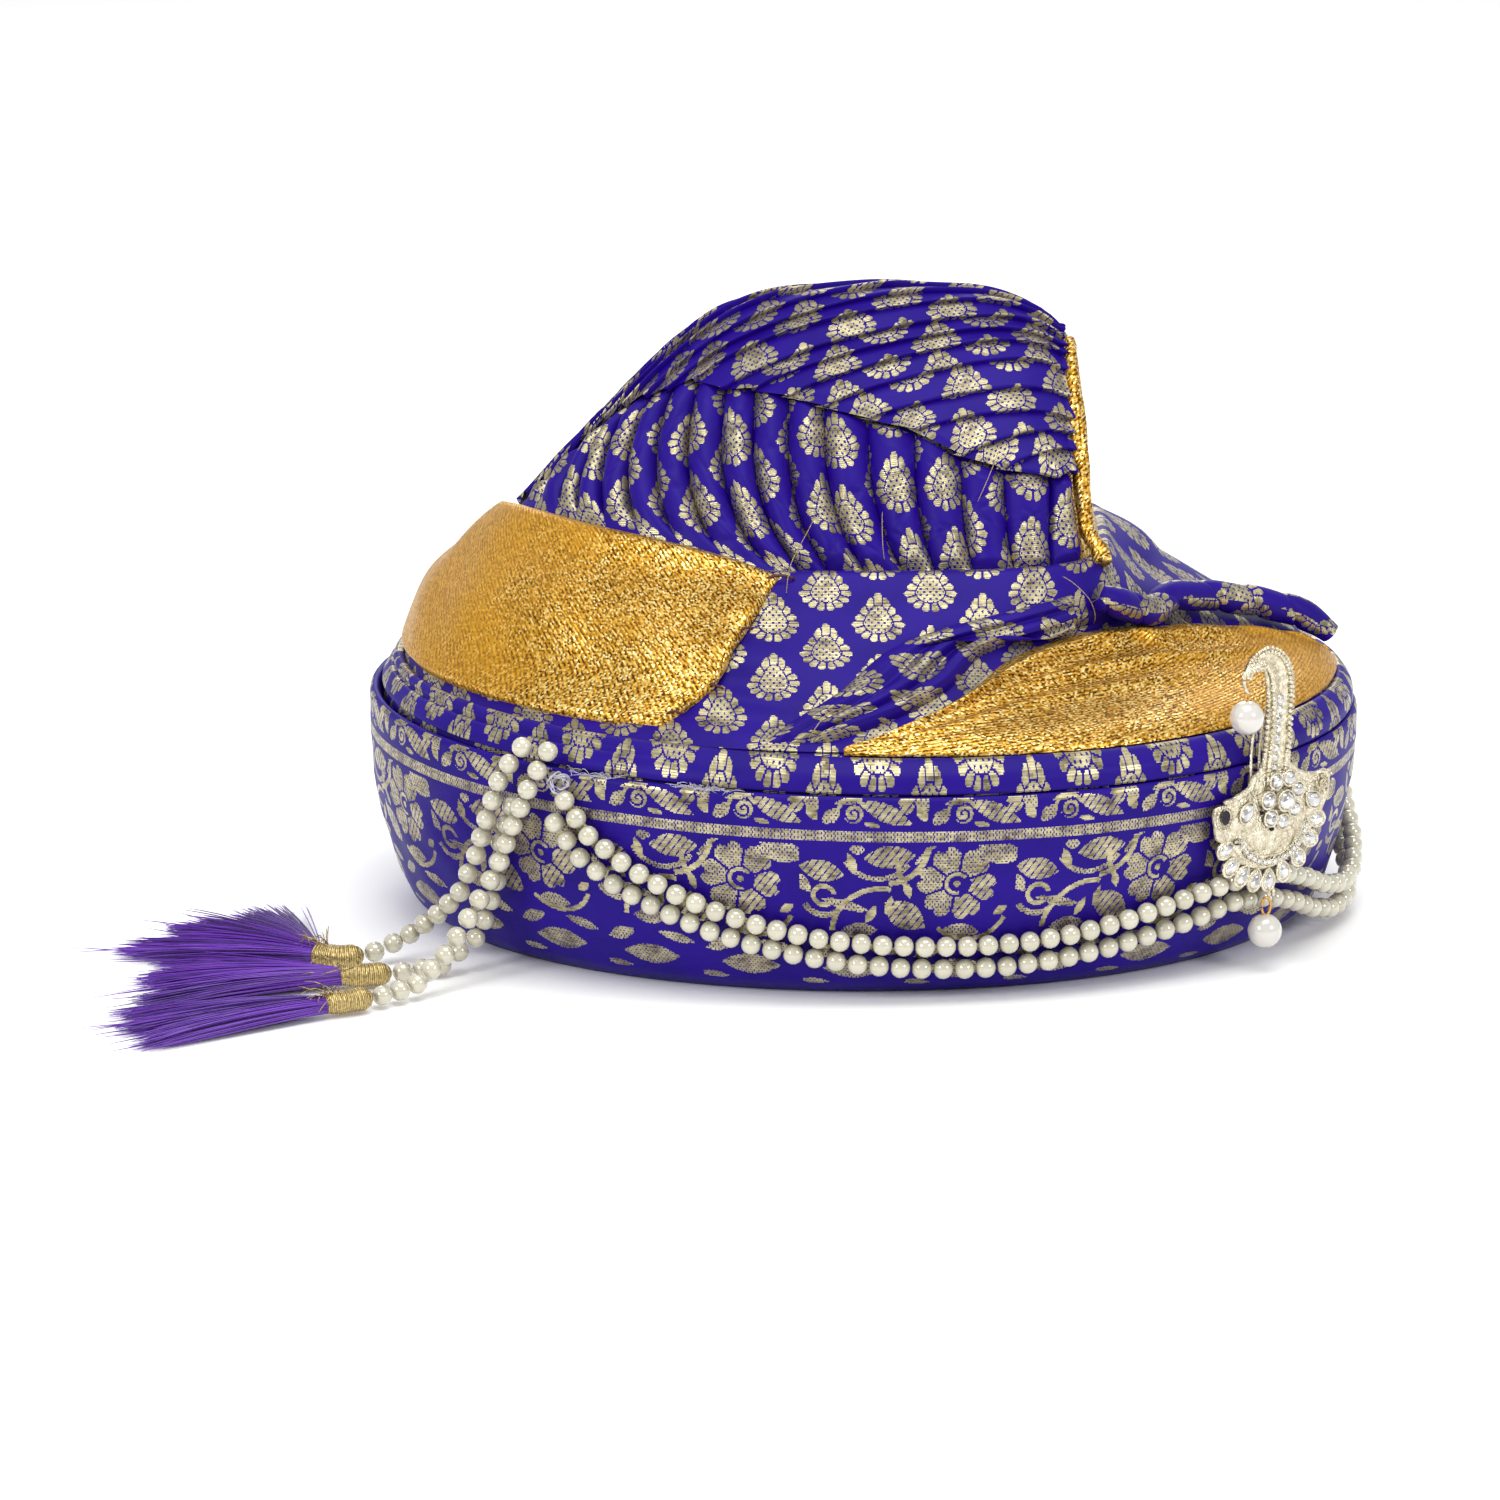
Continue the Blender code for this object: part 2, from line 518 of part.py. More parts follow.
def crest_pleats(mat):
    """Overlapping folds that start at the rolls' tops and run over the crest to its mouth."""
    starts = []
    for level, angle, share in CREST_EDGES:
        point = crown_bare(angle, level)
        far = angle < -180.5
        x = point[0]
        here = crest_share(x, point[2])
        starts.append((x, 1 - here if far else here))
    outer, inner = [], []
    stations = (0, 0.14, 0.30, 0.48, 0.66, 0.81, 0.92, 1.0)
    for i, (x, share) in enumerate(starts):
        end_share = CREST_EDGES[i, 2]
        end_x = CROWN_HALF_LENGTH * np.interp(end_share, MOUTH_EDGE[:, 0], MOUTH_EDGE[:, 1])
        for shift, drop in (((0.0, 1.0), ) if i == 0 else ((-0.06, 0.0), (0.06, 1.0))):
            near = starts[i - 1] if shift < 0 else starts[min(i + 1, len(starts) - 1)]
            near_end = CREST_EDGES[i - 1, 2] if shift < 0 else CREST_EDGES[min(i + 1, len(starts) - 1), 2]
            pull = abs(shift)
            row_out, row_in = [], []
            for u in stations:
                ease = u ** 0.85
                at_x = x + (end_x - x) * u
                at_share = share + (end_share - share) * ease
                other = near[1] + (near_end - near[1]) * ease
                at_share += (other - at_share) * pull
                form = crest_point(at_x, at_share)
                angle, level = angle_level(form)
                lift = -0.0008 + FOLD_STEP * drop
                row_out.append(crest_point(at_x, at_share, float(tucked(lift, angle, level))))
                row_in.append(crest_point(at_x, at_share, CREST_GAP - CREST_RECESS))
            outer.append(row_out)
            inner.append(row_in)
    return sheet_solid("crest_pleats", outer, inner, mat)


def mouth_gusset(mat):
    """The gold panel that closes the crest's mouth, set in behind the pleats' edges."""
    angles = np.linspace(-29, 30, 9)
    levels = (CREST_LEVEL + 0.15, 8, 9, 10, 10.8)
    low, high = CREST_GAP - CREST_RECESS, CREST_GAP - CREST_RECESS + GUSSET_THICKNESS
    outer = [crown_point(angles, level, np.full(9, high)) for level in levels]
    inner = [crown_point(angles, level, np.full(9, low)) for level in levels]
    return sheet_solid("mouth_gusset", outer, inner, mat)


def mouth_roll(mat):
    """The rolled gold edge that runs up the mouth beside the last pleat."""
    route = cubic_rows(MOUTH_ROLL_ROUTE, np.linspace(0, len(MOUTH_ROLL_ROUTE) - 1, 12))
    lift = CREST_GAP - CREST_RECESS + GUSSET_THICKNESS + CLEARANCE + MOUTH_ROLL_RADIUS
    foot = MOUTH_ROLL_RADIUS + LAY_GAP
    lifts = np.where(route[:, 0] < CREST_LEVEL + 0.3, foot, lift)
    points = crown_point(route[:, 1], route[:, 0], lifts)
    return swept_solid("mouth_roll", points, MOUTH_ROLL_RADIUS, mat, 8)


def gold_band(mat):
    """The folded gold strap round the left side, over the pleats' feet."""
    stations = np.linspace(0, len(GOLD_BAND_STATIONS) - 1, 17)
    rows = cubic_rows(GOLD_BAND_STATIONS, stations)
    outer, inner = [], []
    for v in (0, 0.06, 0.35, 0.65, 0.94, 1.0):
        angle = rows[:, 0] + (rows[:, 2] - rows[:, 0]) * v
        level = rows[:, 1] + (rows[:, 3] - rows[:, 1]) * v
        bridge = LAY_GAP + GOLD_BAND_BRIDGE * math.sin(math.pi * v)
        height = bridge + GOLD_BAND_THICKNESS * (0.65 if v in (0, 1.0) else 1.0)
        outer.append(crown_point(angle, level, np.full(len(angle), height)))
        inner.append(crown_point(angle, level, np.full(len(angle), bridge)))
    return sheet_solid("gold_band", outer, inner, mat)


def gold_dome(mat):
    """The smooth gold panel between the rim fold and the drape's folds."""
    edge = cubic_rows(DOME_EDGE, np.linspace(0, len(DOME_EDGE) - 1, 17))
    low = rim_level(edge[:, 0], RIM_FOLD_HEIGHT) + 0.06
    outer, inner = [], []
    for v in (0.0, 0.2, 0.45, 0.7, 1.0):
        level = low + (np.maximum(edge[:, 1], low + 0.10) - low) * v
        outer.append(crown_point(edge[:, 0], level, np.full(len(edge), LAY_GAP + DOME_THICKNESS)))
        inner.append(crown_point(edge[:, 0], level, np.full(len(edge), LAY_GAP)))
    return sheet_solid("gold_dome", outer, inner, mat)


def drape_folds(mat):
    """Gathered folds of the front cloth, fanning from the crest's corner down to the rim."""
    along = cubic_rows(DRAPE_FOLDS, np.linspace(0, len(DRAPE_FOLDS) - 1, 11))
    outer, inner = [], []
    for v, height in ((0, 0.45), (0.1, 1.0), (0.22, 0.9), (0.3, 0.3), (0.42, 0.85), (0.52, 0.7), (0.6, 0.25),
                      (0.74, 0.6), (0.86, 0.4), (1.0, 0.12)):
        angle = along[:, 0] + (along[:, 2] - along[:, 0]) * v
        level = along[:, 1] + (along[:, 3] - along[:, 1]) * v
        outer.append(crown_point(angle, level, np.full(len(angle), LAY_GAP + DRAPE_FOLD_DEPTH * height)))
        inner.append(crown_point(angle, level, np.full(len(angle), LAY_GAP)))
    return sheet_solid("drape_folds", outer, inner, mat)


def rope_roll(mat):
    """The far cloth's rolled and wrapped edge, lying on the crown above the gold dome."""
    route = cubic_rows(ROPE_ROUTE, np.linspace(0, len(ROPE_ROUTE) - 1, 18))
    radii = ROPE_RADIUS * np.array([0.8 + 0.2 * min(1, k / 2) if k % 2 else 0.92 for k in range(18)])
    points = crown_point(route[:, 0], route[:, 1], np.full(18, LAY_GAP + ROPE_RADIUS * 1.08))
    return swept_solid("rope_roll", points, radii, mat, 8)


def rest_on_band(points):
    """Points moved outward where a string there would press into the band's face."""
    points = np.array(points)
    reach = PEARL_DIAMETER / 2 + 2 * CLEARANCE + band_offset(points[:, 2] / BAND_SEAT_HEIGHT)
    share = np.hypot(points[:, 0] / (BAND_LENGTH / 2 + reach), points[:, 1] / (BAND_DEPTH / 2 + reach))
    points[:, :2] /= np.minimum(share, 1)[:, None]
    return points


def string_points(route):
    """Points of a string's centre line, two or three pearls apart, none of them below the surface."""
    points = np.array(route) * (BAND_LENGTH / 2, BAND_DEPTH / 2, BAND_SEAT_HEIGHT)
    points[:, 2] = np.maximum(points[:, 2], PEARL_DIAMETER / 2 + CLEARANCE)
    return rest_on_band(smooth_route(points, PEARL_DIAMETER * 2.4))


def pearl_string(name, route, mat):
    """The outer form of one string of pearls: a round tube along its chosen points."""
    points = string_points(route)
    curve = bpy.data.curves.new(name, "CURVE")
    curve.dimensions = "3D"
    curve.bevel_depth = PEARL_DIAMETER / 2
    curve.bevel_resolution = 2
    curve.use_fill_caps = True
    spline = curve.splines.new("POLY")
    spline.points.add(len(points) - 1)
    for knot, point in zip(spline.points, points):
        knot.co = (*point, 1)
    curve.materials.append(mat)
    ob = bpy.data.objects.new(name, curve)
    bpy.context.scene.collection.objects.link(ob)
    return ob


def tassel(prefix, string_route, heading, spread, thread, silk):
    """A bound head beyond a string's end and a skirt of locks that lies fanned on the surface."""
    before, end = string_points(string_route)[-2:]
    came = math.atan2(end[1] - before[1], end[0] - before[0])
    turn = (math.radians(heading) - came + math.pi) % (2 * math.pi) - math.pi
    radii = BINDING_RADIUS * np.array([0.72, 0.98, 0.90, 0.98, 0.90, 0.80])
    step = BINDING_RADIUS * 4.2 / (len(radii) - 1)
    centre = np.array([end[0], end[1], BINDING_RADIUS + CLEARANCE])
    centre += np.array([math.cos(came), math.sin(came), 0]) * BINDING_GAP
    route = [centre]
    for k in range(len(radii) - 1):
        way = came + turn * min((k + 0.5) / (len(radii) - 2), 1)
        route.append(route[-1] + step * np.array([math.cos(way), math.sin(way), 0]))
    swept_solid(prefix + "_binding", route, radii, thread, 10)
    ahead = np.array([math.cos(came + turn), math.sin(came + turn), 0])
    aside = np.array([-ahead[1], ahead[0], 0])
    root = route[-1] + ahead * CLEARANCE
    root[2] = 0
    tassel_skirt(prefix + "_skirt", root, ahead, aside, spread, silk)


def tassel_skirt(name, root, ahead, aside, spread, mat):
    """Locks side by side, one body up to the split and separate strips beyond it."""
    joined = ((0.0, 1.0, 2.0), (0.12, 1.3, 1.9), (0.35, 1.0, 1.45), (0.55, 0.8, 1.15))
    loose = ((0.8, 0.45, 0.8), (1.0, 0.25, 0.45))
    root_half = BINDING_RADIUS * 0.85
    points, faces = [], []

    def lock_edge(i, share):
        side = 2 * i / SKIRT_LOCKS - 1
        fan = side * math.radians(spread) / 2
        ray = ahead * math.cos(fan) + aside * math.sin(fan)
        return root + aside * side * root_half + ray * SKIRT_LENGTH * share

    def add(point, height):
        points.append((point[0], point[1], height))
        return len(points) - 1

    sections = []
    for share, valley, ridge in joined:
        row = []
        for i in range(SKIRT_LOCKS + 1):
            foot = lock_edge(i, share)
            low = add(foot, 0.0)
            high = add(foot, BINDING_RADIUS * valley * 0.8)
            crest = None
            if i < SKIRT_LOCKS:
                middle = (foot + lock_edge(i + 1, share)) / 2
                crest = add(middle, BINDING_RADIUS * ridge)
            row.append((low, high, crest))
        sections.append(row)
    for a, b in zip(sections[:-1], sections[1:]):
        for i in range(SKIRT_LOCKS):
            faces.append((a[i][0], b[i][0], b[i + 1][0], a[i + 1][0]))
            faces.append((a[i][1], a[i][2], b[i][2], b[i][1]))
            faces.append((a[i][2], a[i + 1][1], b[i + 1][1], b[i][2]))
        faces.append((a[0][0], a[0][1], b[0][1], b[0][0]))
        faces.append((a[-1][0], b[-1][0], b[-1][1], a[-1][1]))
    head = sections[0]
    outline = [head[i][0] for i in range(SKIRT_LOCKS + 1)]
    for i in range(SKIRT_LOCKS, -1, -1):
        outline.append(head[i][1])
        if i:
            outline.append(head[i - 1][2])
    faces.append(tuple(outline))
    for i in range(SKIRT_LOCKS):
        last = sections[-1]
        before = (last[i][0], last[i + 1][0], last[i + 1][1], last[i][2], last[i][1])
        for share, valley, ridge in loose:
            reach = share * (0.94 + 0.06 * math.cos(2.4 * i))
            left, right = lock_edge(i, reach), lock_edge(i + 1, reach)
            gap = 0.12 if share < 1 else 0.25
            left, right = left + (right - left) * gap, right + (left - right) * gap
            middle = (left + right) / 2
            after = (add(left, 0), add(right, 0), add(right, BINDING_RADIUS * valley * 0.8),
                     add(middle, BINDING_RADIUS * ridge), add(left, BINDING_RADIUS * valley * 0.8))
            for k in range(5):
                m = (k + 1) % 5
                faces.append((before[k], before[m], after[m], after[k]))
            before = after
        faces.append(before)
    return add_object(name, points, faces, mat)


def brooch_frame():
    """Foot of the brooch's back plane, its direction to the right and its outward direction."""
    turn = math.radians(BROOCH_TURN)
    outward = np.array([math.sin(turn), -math.cos(turn), 0])
    right = np.array([math.cos(turn), math.sin(turn), 0])
    touch = ring_point(np.float64(BROOCH_ANGLE), 0.0, np.float64(0.0))
    return touch + outward * BROOCH_STANDOFF, right, outward


def brooch_place(u, w, out):
    """World point from the brooch's own right, up and outward distances."""
    foot, right, outward = brooch_frame()
    return foot + right * u + outward * out + np.array([0, 0, BROOCH_FOOT + w])


# The brooch's fan outline: angle and radius as a share of its height, around the fan's centre.
FAN_OUTLINE = np.array([
    (-90, 0.226), (-60, 0.226), (-30, 0.232), (-8, 0.262), (8, 0.315), (20, 0.315), (32, 0.240), (50, 0.165),
    (70, 0.150), (90, 0.150), (110, 0.150), (128, 0.175), (143, 0.250), (156, 0.345), (168, 0.350),
    (180, 0.300), (195, 0.240), (220, 0.226), (245, 0.226), (270, 0.226),
])
FAN_CENTRE = (0.0, 0.300)
# The stem's centre line: right and up as shares of the brooch's height, and its half width.
STEM_LINE = np.array([
    (0.000, 0.400, 0.060), (0.014, 0.560, 0.061), (0.024, 0.720, 0.060), (0.030, 0.840, 0.058),
    (0.010, 0.920, 0.054), (-0.045, 0.962, 0.046), (-0.105, 0.950, 0.038), (-0.140, 0.915, 0.034),
])


def flat_outline(name, outline, depth_in, depth_out, mat):
    """A closed plate with the given outline, between two depths off the brooch's back plane."""
    back = [brooch_place(u, w, depth_in) for u, w in outline]
    front = [brooch_place(u, w, depth_out) for u, w in outline]
    n = len(outline)
    faces = [tuple(range(n)), tuple(range(n, 2 * n))]
    faces += [(k, (k + 1) % n, n + (k + 1) % n, n + k) for k in range(n)]
    return add_object(name, back + front, faces, mat, 30.0)


def stone_shape(u, w, half_u, half_w, turn, sides=8):
    """A cut stone: a ring of facets round a flat table, buried a little in its setting."""
    points = []
    for grow, depth in ((1.0, BROOCH_THICKNESS - STONE_BURY), (0.6, BROOCH_THICKNESS + STONE_RISE)):
        for k in range(sides):
            a = (k + 0.5) * 2 * math.pi / sides
            x, y = half_u * grow * math.cos(a), half_w * grow * math.sin(a)
            points.append(brooch_place(u + x * math.cos(turn) - y * math.sin(turn),
                                       w + x * math.sin(turn) + y * math.cos(turn), depth))
    faces = grid_faces(2, sides, 0, True) + [tuple(range(sides)), tuple(range(sides, 2 * sides))]
    return points, faces


def brooch_stones():
    """Places of the stones: right, up, half width, half height and turn."""
    size = BROOCH_HEIGHT
    centre_u, centre_w = FAN_CENTRE[0] * size, FAN_CENTRE[1] * size
    places = []
    for k in range(9):
        a = math.radians(-166 + k * 18.5)
        places.append((centre_u + 0.262 * size * math.cos(a), centre_w + 0.262 * size * math.sin(a),
                       0.036 * size, 0.042 * size, a + math.pi / 2))
    flower_u, flower_w = 0.022 * size, 0.372 * size
    places.append((flower_u, flower_w, 0.037 * size, 0.037 * size, 0.0))
    for k in range(7):
        a = math.radians(90 + k * 360 / 7)
        places.append((flower_u + 0.078 * size * math.cos(a), flower_w + 0.078 * size * math.sin(a),
                       0.030 * size, 0.030 * size, a))
    places.append((0.190 * size, 0.345 * size, 0.032 * size, 0.045 * size, 0.0))
    places.append((-0.170 * size, 0.362 * size, 0.032 * size, 0.045 * size, 0.0))
    for k in range(7):
        line = cubic_rows(STEM_LINE, 0.75 + k * 0.38)
        places.append((line[0] * size, line[1] * size, 0.022 * size, 0.022 * size, 0.0))
    return places


def brooch(mat):
    """The cast setting: a fan with side lobes, a crooked stem above, and its stones fused on."""
    size = BROOCH_HEIGHT
    turn = np.linspace(0, len(FAN_OUTLINE) - 1, 34, endpoint=False)
    rows = cubic_rows(FAN_OUTLINE, turn)
    fan = [(size * (FAN_CENTRE[0] + r * math.cos(a)), size * (FAN_CENTRE[1] + r * math.sin(a)))
           for a, r in zip(np.radians(rows[:, 0]), rows[:, 1])]
    setting = flat_outline("brooch", fan, 0.0, BROOCH_THICKNESS, mat)
    line = cubic_rows(STEM_LINE, np.linspace(0, len(STEM_LINE) - 1, 15)) * size
    ahead = np.gradient(line[:, :2], axis=0)
    ahead /= np.linalg.norm(ahead, axis=1, keepdims=True)
    aside = np.stack([-ahead[:, 1], ahead[:, 0]], -1) * line[:, 2:]
    edge = list(line[:, :2] + aside) + list((line[:, :2] - aside)[::-1])
    stem = flat_outline("brooch_stem_tool", edge, 0.0002, BROOCH_THICKNESS + 0.0002, mat)
    points, faces = [], []
    for place in brooch_stones():
        more, more_faces = stone_shape(*place)
        faces += [tuple(i + len(points) for i in face) for face in more_faces]
        points += more
    stones = add_object("brooch_stone_tool", points, faces, mat, 20.0)
    for tool in (stem, stones):
        tool.hide_render = True
        tool.display_type = "WIRE"
        join = setting.modifiers.new("Join", "BOOLEAN")
        join.operation = "UNION"
        join.solver = "EXACT"
        join.use_self = True
        join.object = tool
    return setting


def turned_solid(name, centre, profile, mat, sides=10):
    """A solid turned about an upright axis, its profile given as radius and height pairs."""
    turn = np.arange(sides) * 2 * math.pi / sides
    rings = [(centre[0] + r * np.cos(turn), centre[1] + r * np.sin(turn), centre[2] + h + 0 * turn)
             for r, h in profile]
    points = np.concatenate([np.stack(ring, -1) for ring in rings])
    faces = grid_faces(len(profile), sides, 0, True)
    faces += [tuple(range(sides)), tuple((len(profile) - 1) * sides + k for k in range(sides))]
    return add_object(name, points, faces, mat)


def pearl_drop(name, u, top, centre, mat):
    """A large pearl below its wire, which reaches up to just under the brooch."""
    r = DROP_PEARL_RADIUS
    wire = DROP_PEARL_WIRE
    profile = [(r * math.sin(a), -r * math.cos(a)) for a in np.radians((8, 38, 65, 90, 115, 142))]
    profile += [(wire * 1.6, r * 0.995), (wire, r + DROP_PEARL_WIRE), (wire, top - centre)]
    place = brooch_place(u, centre - BROOCH_FOOT, BROOCH_THICKNESS / 2)
    return turned_solid(name, place, profile, mat)


def brooch_pin(mat):
    """The two-pronged pin behind the stem, which slips down behind the band's edge."""
    size = BROOCH_HEIGHT
    low, high = 0.345 * size, 0.80 * size
    outline = [(-0.060 * size, low), (-0.035 * size, low), (-0.035 * size, high - 0.02 * size),
               (0.030 * size, high - 0.02 * size), (0.030 * size, low), (0.055 * size, low),
               (0.055 * size, high), (-0.060 * size, high)]
    return flat_outline("brooch_pin", outline, -CLEARANCE - PIN_THICKNESS, -CLEARANCE, mat)


def centre_on_foot():
    """Moves everything so that the origin is under the middle of the whole, on the surface."""
    bpy.context.view_layer.update()
    shown = [ob for ob in bpy.data.objects if not ob.hide_render]
    corners = np.array([ob.matrix_world @ Vector(corner) for ob in shown for corner in ob.bound_box])
    middle = (corners.min(axis=0) + corners.max(axis=0)) / 2
    for ob in bpy.data.objects:
        ob.location.x -= middle[0]
        ob.location.y -= middle[1]


def build():
    clear_scene()
    brocade = make_material("brocade", "30148E", 0.42)
    border = make_material("border_brocade", "31148F", 0.42)
    lame = make_material("gold_lame", "C8912C", 0.38, 0.8)
    pearl = make_material("pearl", "E8E6D7", 0.22)
    thread = make_material("gold_thread", "B99650", 0.45, 0.8)
    silk = make_material("silk_thread", "551496", 0.5)
    metal = make_material("champagne_metal", "E1D7BE", 0.25, 1.0)
    base_band(border)
    rim_fold(brocade)
    crown_shell(brocade)
    side_pleats(brocade)
    crest_pleats(brocade)
    mouth_gusset(lame)
    mouth_roll(lame)
    gold_band(lame)
    gold_dome(lame)
    drape_folds(brocade)
    rope_roll(brocade)
    pearl_string("swag_upper", SWAG_UPPER_ROUTE, pearl)
    pearl_string("swag_lower", SWAG_LOWER_ROUTE, pearl)
    pearl_string("tassel_string_front", STRING_FRONT_ROUTE, pearl)
    pearl_string("tassel_string_left", STRING_LEFT_ROUTE, pearl)
    pearl_string("tassel_string_back", STRING_BACK_ROUTE, pearl)
    tassel("tassel_front", STRING_FRONT_ROUTE, 200.0, 30.0, thread, silk)
    tassel("tassel_left", STRING_LEFT_ROUTE, 150.0, 50.0, thread, silk)
    tassel("tassel_middle", STRING_BACK_ROUTE, 178.0, 36.0, thread, silk)
    brooch(metal)
    brooch_pin(metal)
    pearl_drop("brooch_pearl_upper", -0.155 * BROOCH_HEIGHT, BROOCH_FOOT + 0.908 * BROOCH_HEIGHT,
               UPPER_PEARL_HEIGHT, pearl)
    pearl_drop("brooch_pearl_lower", -0.030 * BROOCH_HEIGHT, BROOCH_FOOT - 0.012 * BROOCH_HEIGHT,
               LOWER_PEARL_HEIGHT, pearl)
    centre_on_foot()


build()
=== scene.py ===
import bmesh
import bpy
import numpy as np
from numpy import (arctan2, clip, concatenate, cos, cumsum, diff, exp, hypot, interp, linspace, maximum,
                   minimum, pi, radians, sin, stack)
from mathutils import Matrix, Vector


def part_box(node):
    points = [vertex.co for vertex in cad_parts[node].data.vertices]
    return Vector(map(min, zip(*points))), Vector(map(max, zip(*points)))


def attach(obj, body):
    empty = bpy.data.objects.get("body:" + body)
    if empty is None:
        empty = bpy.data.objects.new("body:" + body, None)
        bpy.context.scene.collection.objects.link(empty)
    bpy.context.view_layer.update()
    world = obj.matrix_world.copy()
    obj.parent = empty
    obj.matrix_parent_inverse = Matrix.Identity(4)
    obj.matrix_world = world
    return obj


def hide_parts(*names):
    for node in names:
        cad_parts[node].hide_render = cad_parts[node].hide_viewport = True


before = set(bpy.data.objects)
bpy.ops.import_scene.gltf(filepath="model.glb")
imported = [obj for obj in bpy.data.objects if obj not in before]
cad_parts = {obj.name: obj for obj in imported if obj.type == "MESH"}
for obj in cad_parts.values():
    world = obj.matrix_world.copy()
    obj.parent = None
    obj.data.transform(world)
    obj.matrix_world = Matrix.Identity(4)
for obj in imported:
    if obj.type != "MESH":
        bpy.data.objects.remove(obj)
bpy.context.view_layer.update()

# The setting: a camera a little above the table's height, a white paper ground and soft light
# from large lamps, as a small product studio has.
band_low, band_high = (np.array(corner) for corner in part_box("base_band"))
MIDDLE = np.array([(band_low[0] + band_high[0]) / 2, (band_low[1] + band_high[1]) / 2, 0.0])
LOOK_AT = MIDDLE + (-0.0345, 0.0, 0.0458)
CAMERA_RISE = radians(15.0)
CAMERA_DISTANCE = 2.2

camera_data = bpy.data.cameras.new("camera")
camera_data.lens = 173.1
camera_data.sensor_width = 36.0
camera_data.clip_end = 20.0
camera = bpy.data.objects.new("camera", camera_data)
camera.location = LOOK_AT + CAMERA_DISTANCE * np.array([0, -cos(CAMERA_RISE), sin(CAMERA_RISE)])
camera.rotation_euler = (pi / 2 - CAMERA_RISE, 0, 0)
bpy.context.scene.collection.objects.link(camera)
bpy.context.scene.camera = camera
bpy.context.scene.view_settings.view_transform = "Standard"


def linear(hex_code):
    """A colour from its sRGB hex code, turned to the linear values that shaders take."""
    parts = np.array([int(hex_code[i:i + 2], 16) for i in (0, 2, 4)]) / 255
    return (*np.where(parts <= 0.04045, parts / 12.92, ((parts + 0.055) / 1.055) ** 2.4), 1.0)


def feed(tree, socket, value):
    """Links a socket to another node's output, or gives it a value or a hex colour."""
    if isinstance(value, bpy.types.NodeSocket):
        tree.links.new(value, socket)
    elif value is not None:
        socket.default_value = linear(value) if isinstance(value, str) else value


def put(tree, kind, *inputs, out=0, **settings):
    """Adds a node with its settings and links; a kind in capitals is the operation of a Math node.
    Gives one of its outputs, or a list where out names several."""
    node = tree.nodes.new("ShaderNode" + ("Math" if kind.isupper() else kind))
    if kind.isupper():
        node.operation = kind
    for name, value in settings.items():
        setattr(node, name, value)
    for socket, value in zip([s for s in node.inputs if s.enabled], inputs):
        feed(tree, socket, value)
    outputs = [s for s in node.outputs if s.enabled]
    return [outputs[k] for k in out] if isinstance(out, tuple) else outputs[out]


def dress(mat, **sockets):
    """Gives sockets of a material's surface shader their values, colours or links."""
    shader = mat.node_tree.nodes["Principled BSDF"]
    for name, value in sockets.items():
        feed(mat.node_tree, shader.inputs[name.replace("_", " ").title().replace("Ior", "IOR")], value)


def finish(name, **sockets):
    """A new material with these values on its shader; returns it and what adds nodes to it."""
    mat = bpy.data.materials.new(name)
    mat.use_nodes = True
    dress(mat, **sockets)

    def add(kind, *inputs, **settings):
        return put(mat.node_tree, kind, *inputs, **settings)

    return mat, add


# White photographic paper: matt, a hair of tooth.
paper, _ = finish("white paper", base_color="FFFFFF", roughness=0.95)
PAPER_HALF, PAPER_DROP = 3.0, 0.0004
ground_mesh = bpy.data.meshes.new("ground")
ground_mesh.from_pydata([(x * PAPER_HALF, y * PAPER_HALF, -PAPER_DROP)
                         for x, y in ((-1, -1), (1, -1), (1, 1), (-1, 1))], [], [(0, 1, 2, 3)])
ground_mesh.materials.append(paper)
ground = bpy.data.objects.new("ground", ground_mesh)
bpy.context.scene.collection.objects.link(ground)

world = bpy.data.worlds.new("studio")
world.use_nodes = True
world.node_tree.nodes["Background"].inputs["Color"].default_value = linear("FFFFFF")
world.node_tree.nodes["Background"].inputs["Strength"].default_value = 0.75
bpy.context.scene.world = world
LAMP_AIM = 0.07
# Each lamp: place from the turban's middle, size, power; all look at the height of the crest's foot
for lamp, (place, size, power) in {
        "overhead": ((0.10, -0.25, 1.30), 0.9, 9.0),
        "front_left": ((-1.10, -1.20, 0.90), 0.45, 10.0),
        "front_right": ((1.20, -1.00, 0.80), 0.40, 6.0),
        "back": ((0.0, 1.40, 0.95), 0.9, 7.0)}.items():
    light = bpy.data.lights.new(lamp, "AREA")
    light.size = size
    light.energy = power
    lamp_object = bpy.data.objects.new(lamp, light)
    lamp_object.location = MIDDLE + place
    toward = np.array([0, 0, LAMP_AIM]) - place
    lamp_object.rotation_euler = (arctan2(hypot(toward[0], toward[1]), -toward[2]), 0,
                                  arctan2(toward[1], toward[0]) - pi / 2)
    bpy.context.scene.collection.objects.link(lamp_object)

# The ring that goes round the head: a roll of wadding wound into an oval and cased in the woven
# border of a wedding saree, violet satin with scrolls, a twill stripe and flowers in gold thread.
# The border's top edge turns over the roll, and its plain selvedge tucks under the foot.
BAND_LENGTH = 0.300
BAND_DEPTH = 0.240
BAND_SEAT_HEIGHT = 0.0577
BAND_LIP = 0.0032
BAND_LIP_RISE = 0.0083
BAND_LIP_TILT = 0.0025
BAND_WALL = 0.022
BAND_TUCK = 0.018
BAND_SEAT_WIDTH = 0.021
CLEARANCE = 0.0003
# Ends of the gold thread's colour, from painted shade to painted highlight
ZARI_DARK, ZARI_LIGHT = "4C432E", "CCC29C"
# A pick of the gold weft, and the steps that the figures take in the loom, in millimetres. The real
# picks are near 0.35; they are drawn at 0.62 so that they show.
PICK, STEP_ACROSS, STEP_DOWN = 0.62, 0.36, 0.40


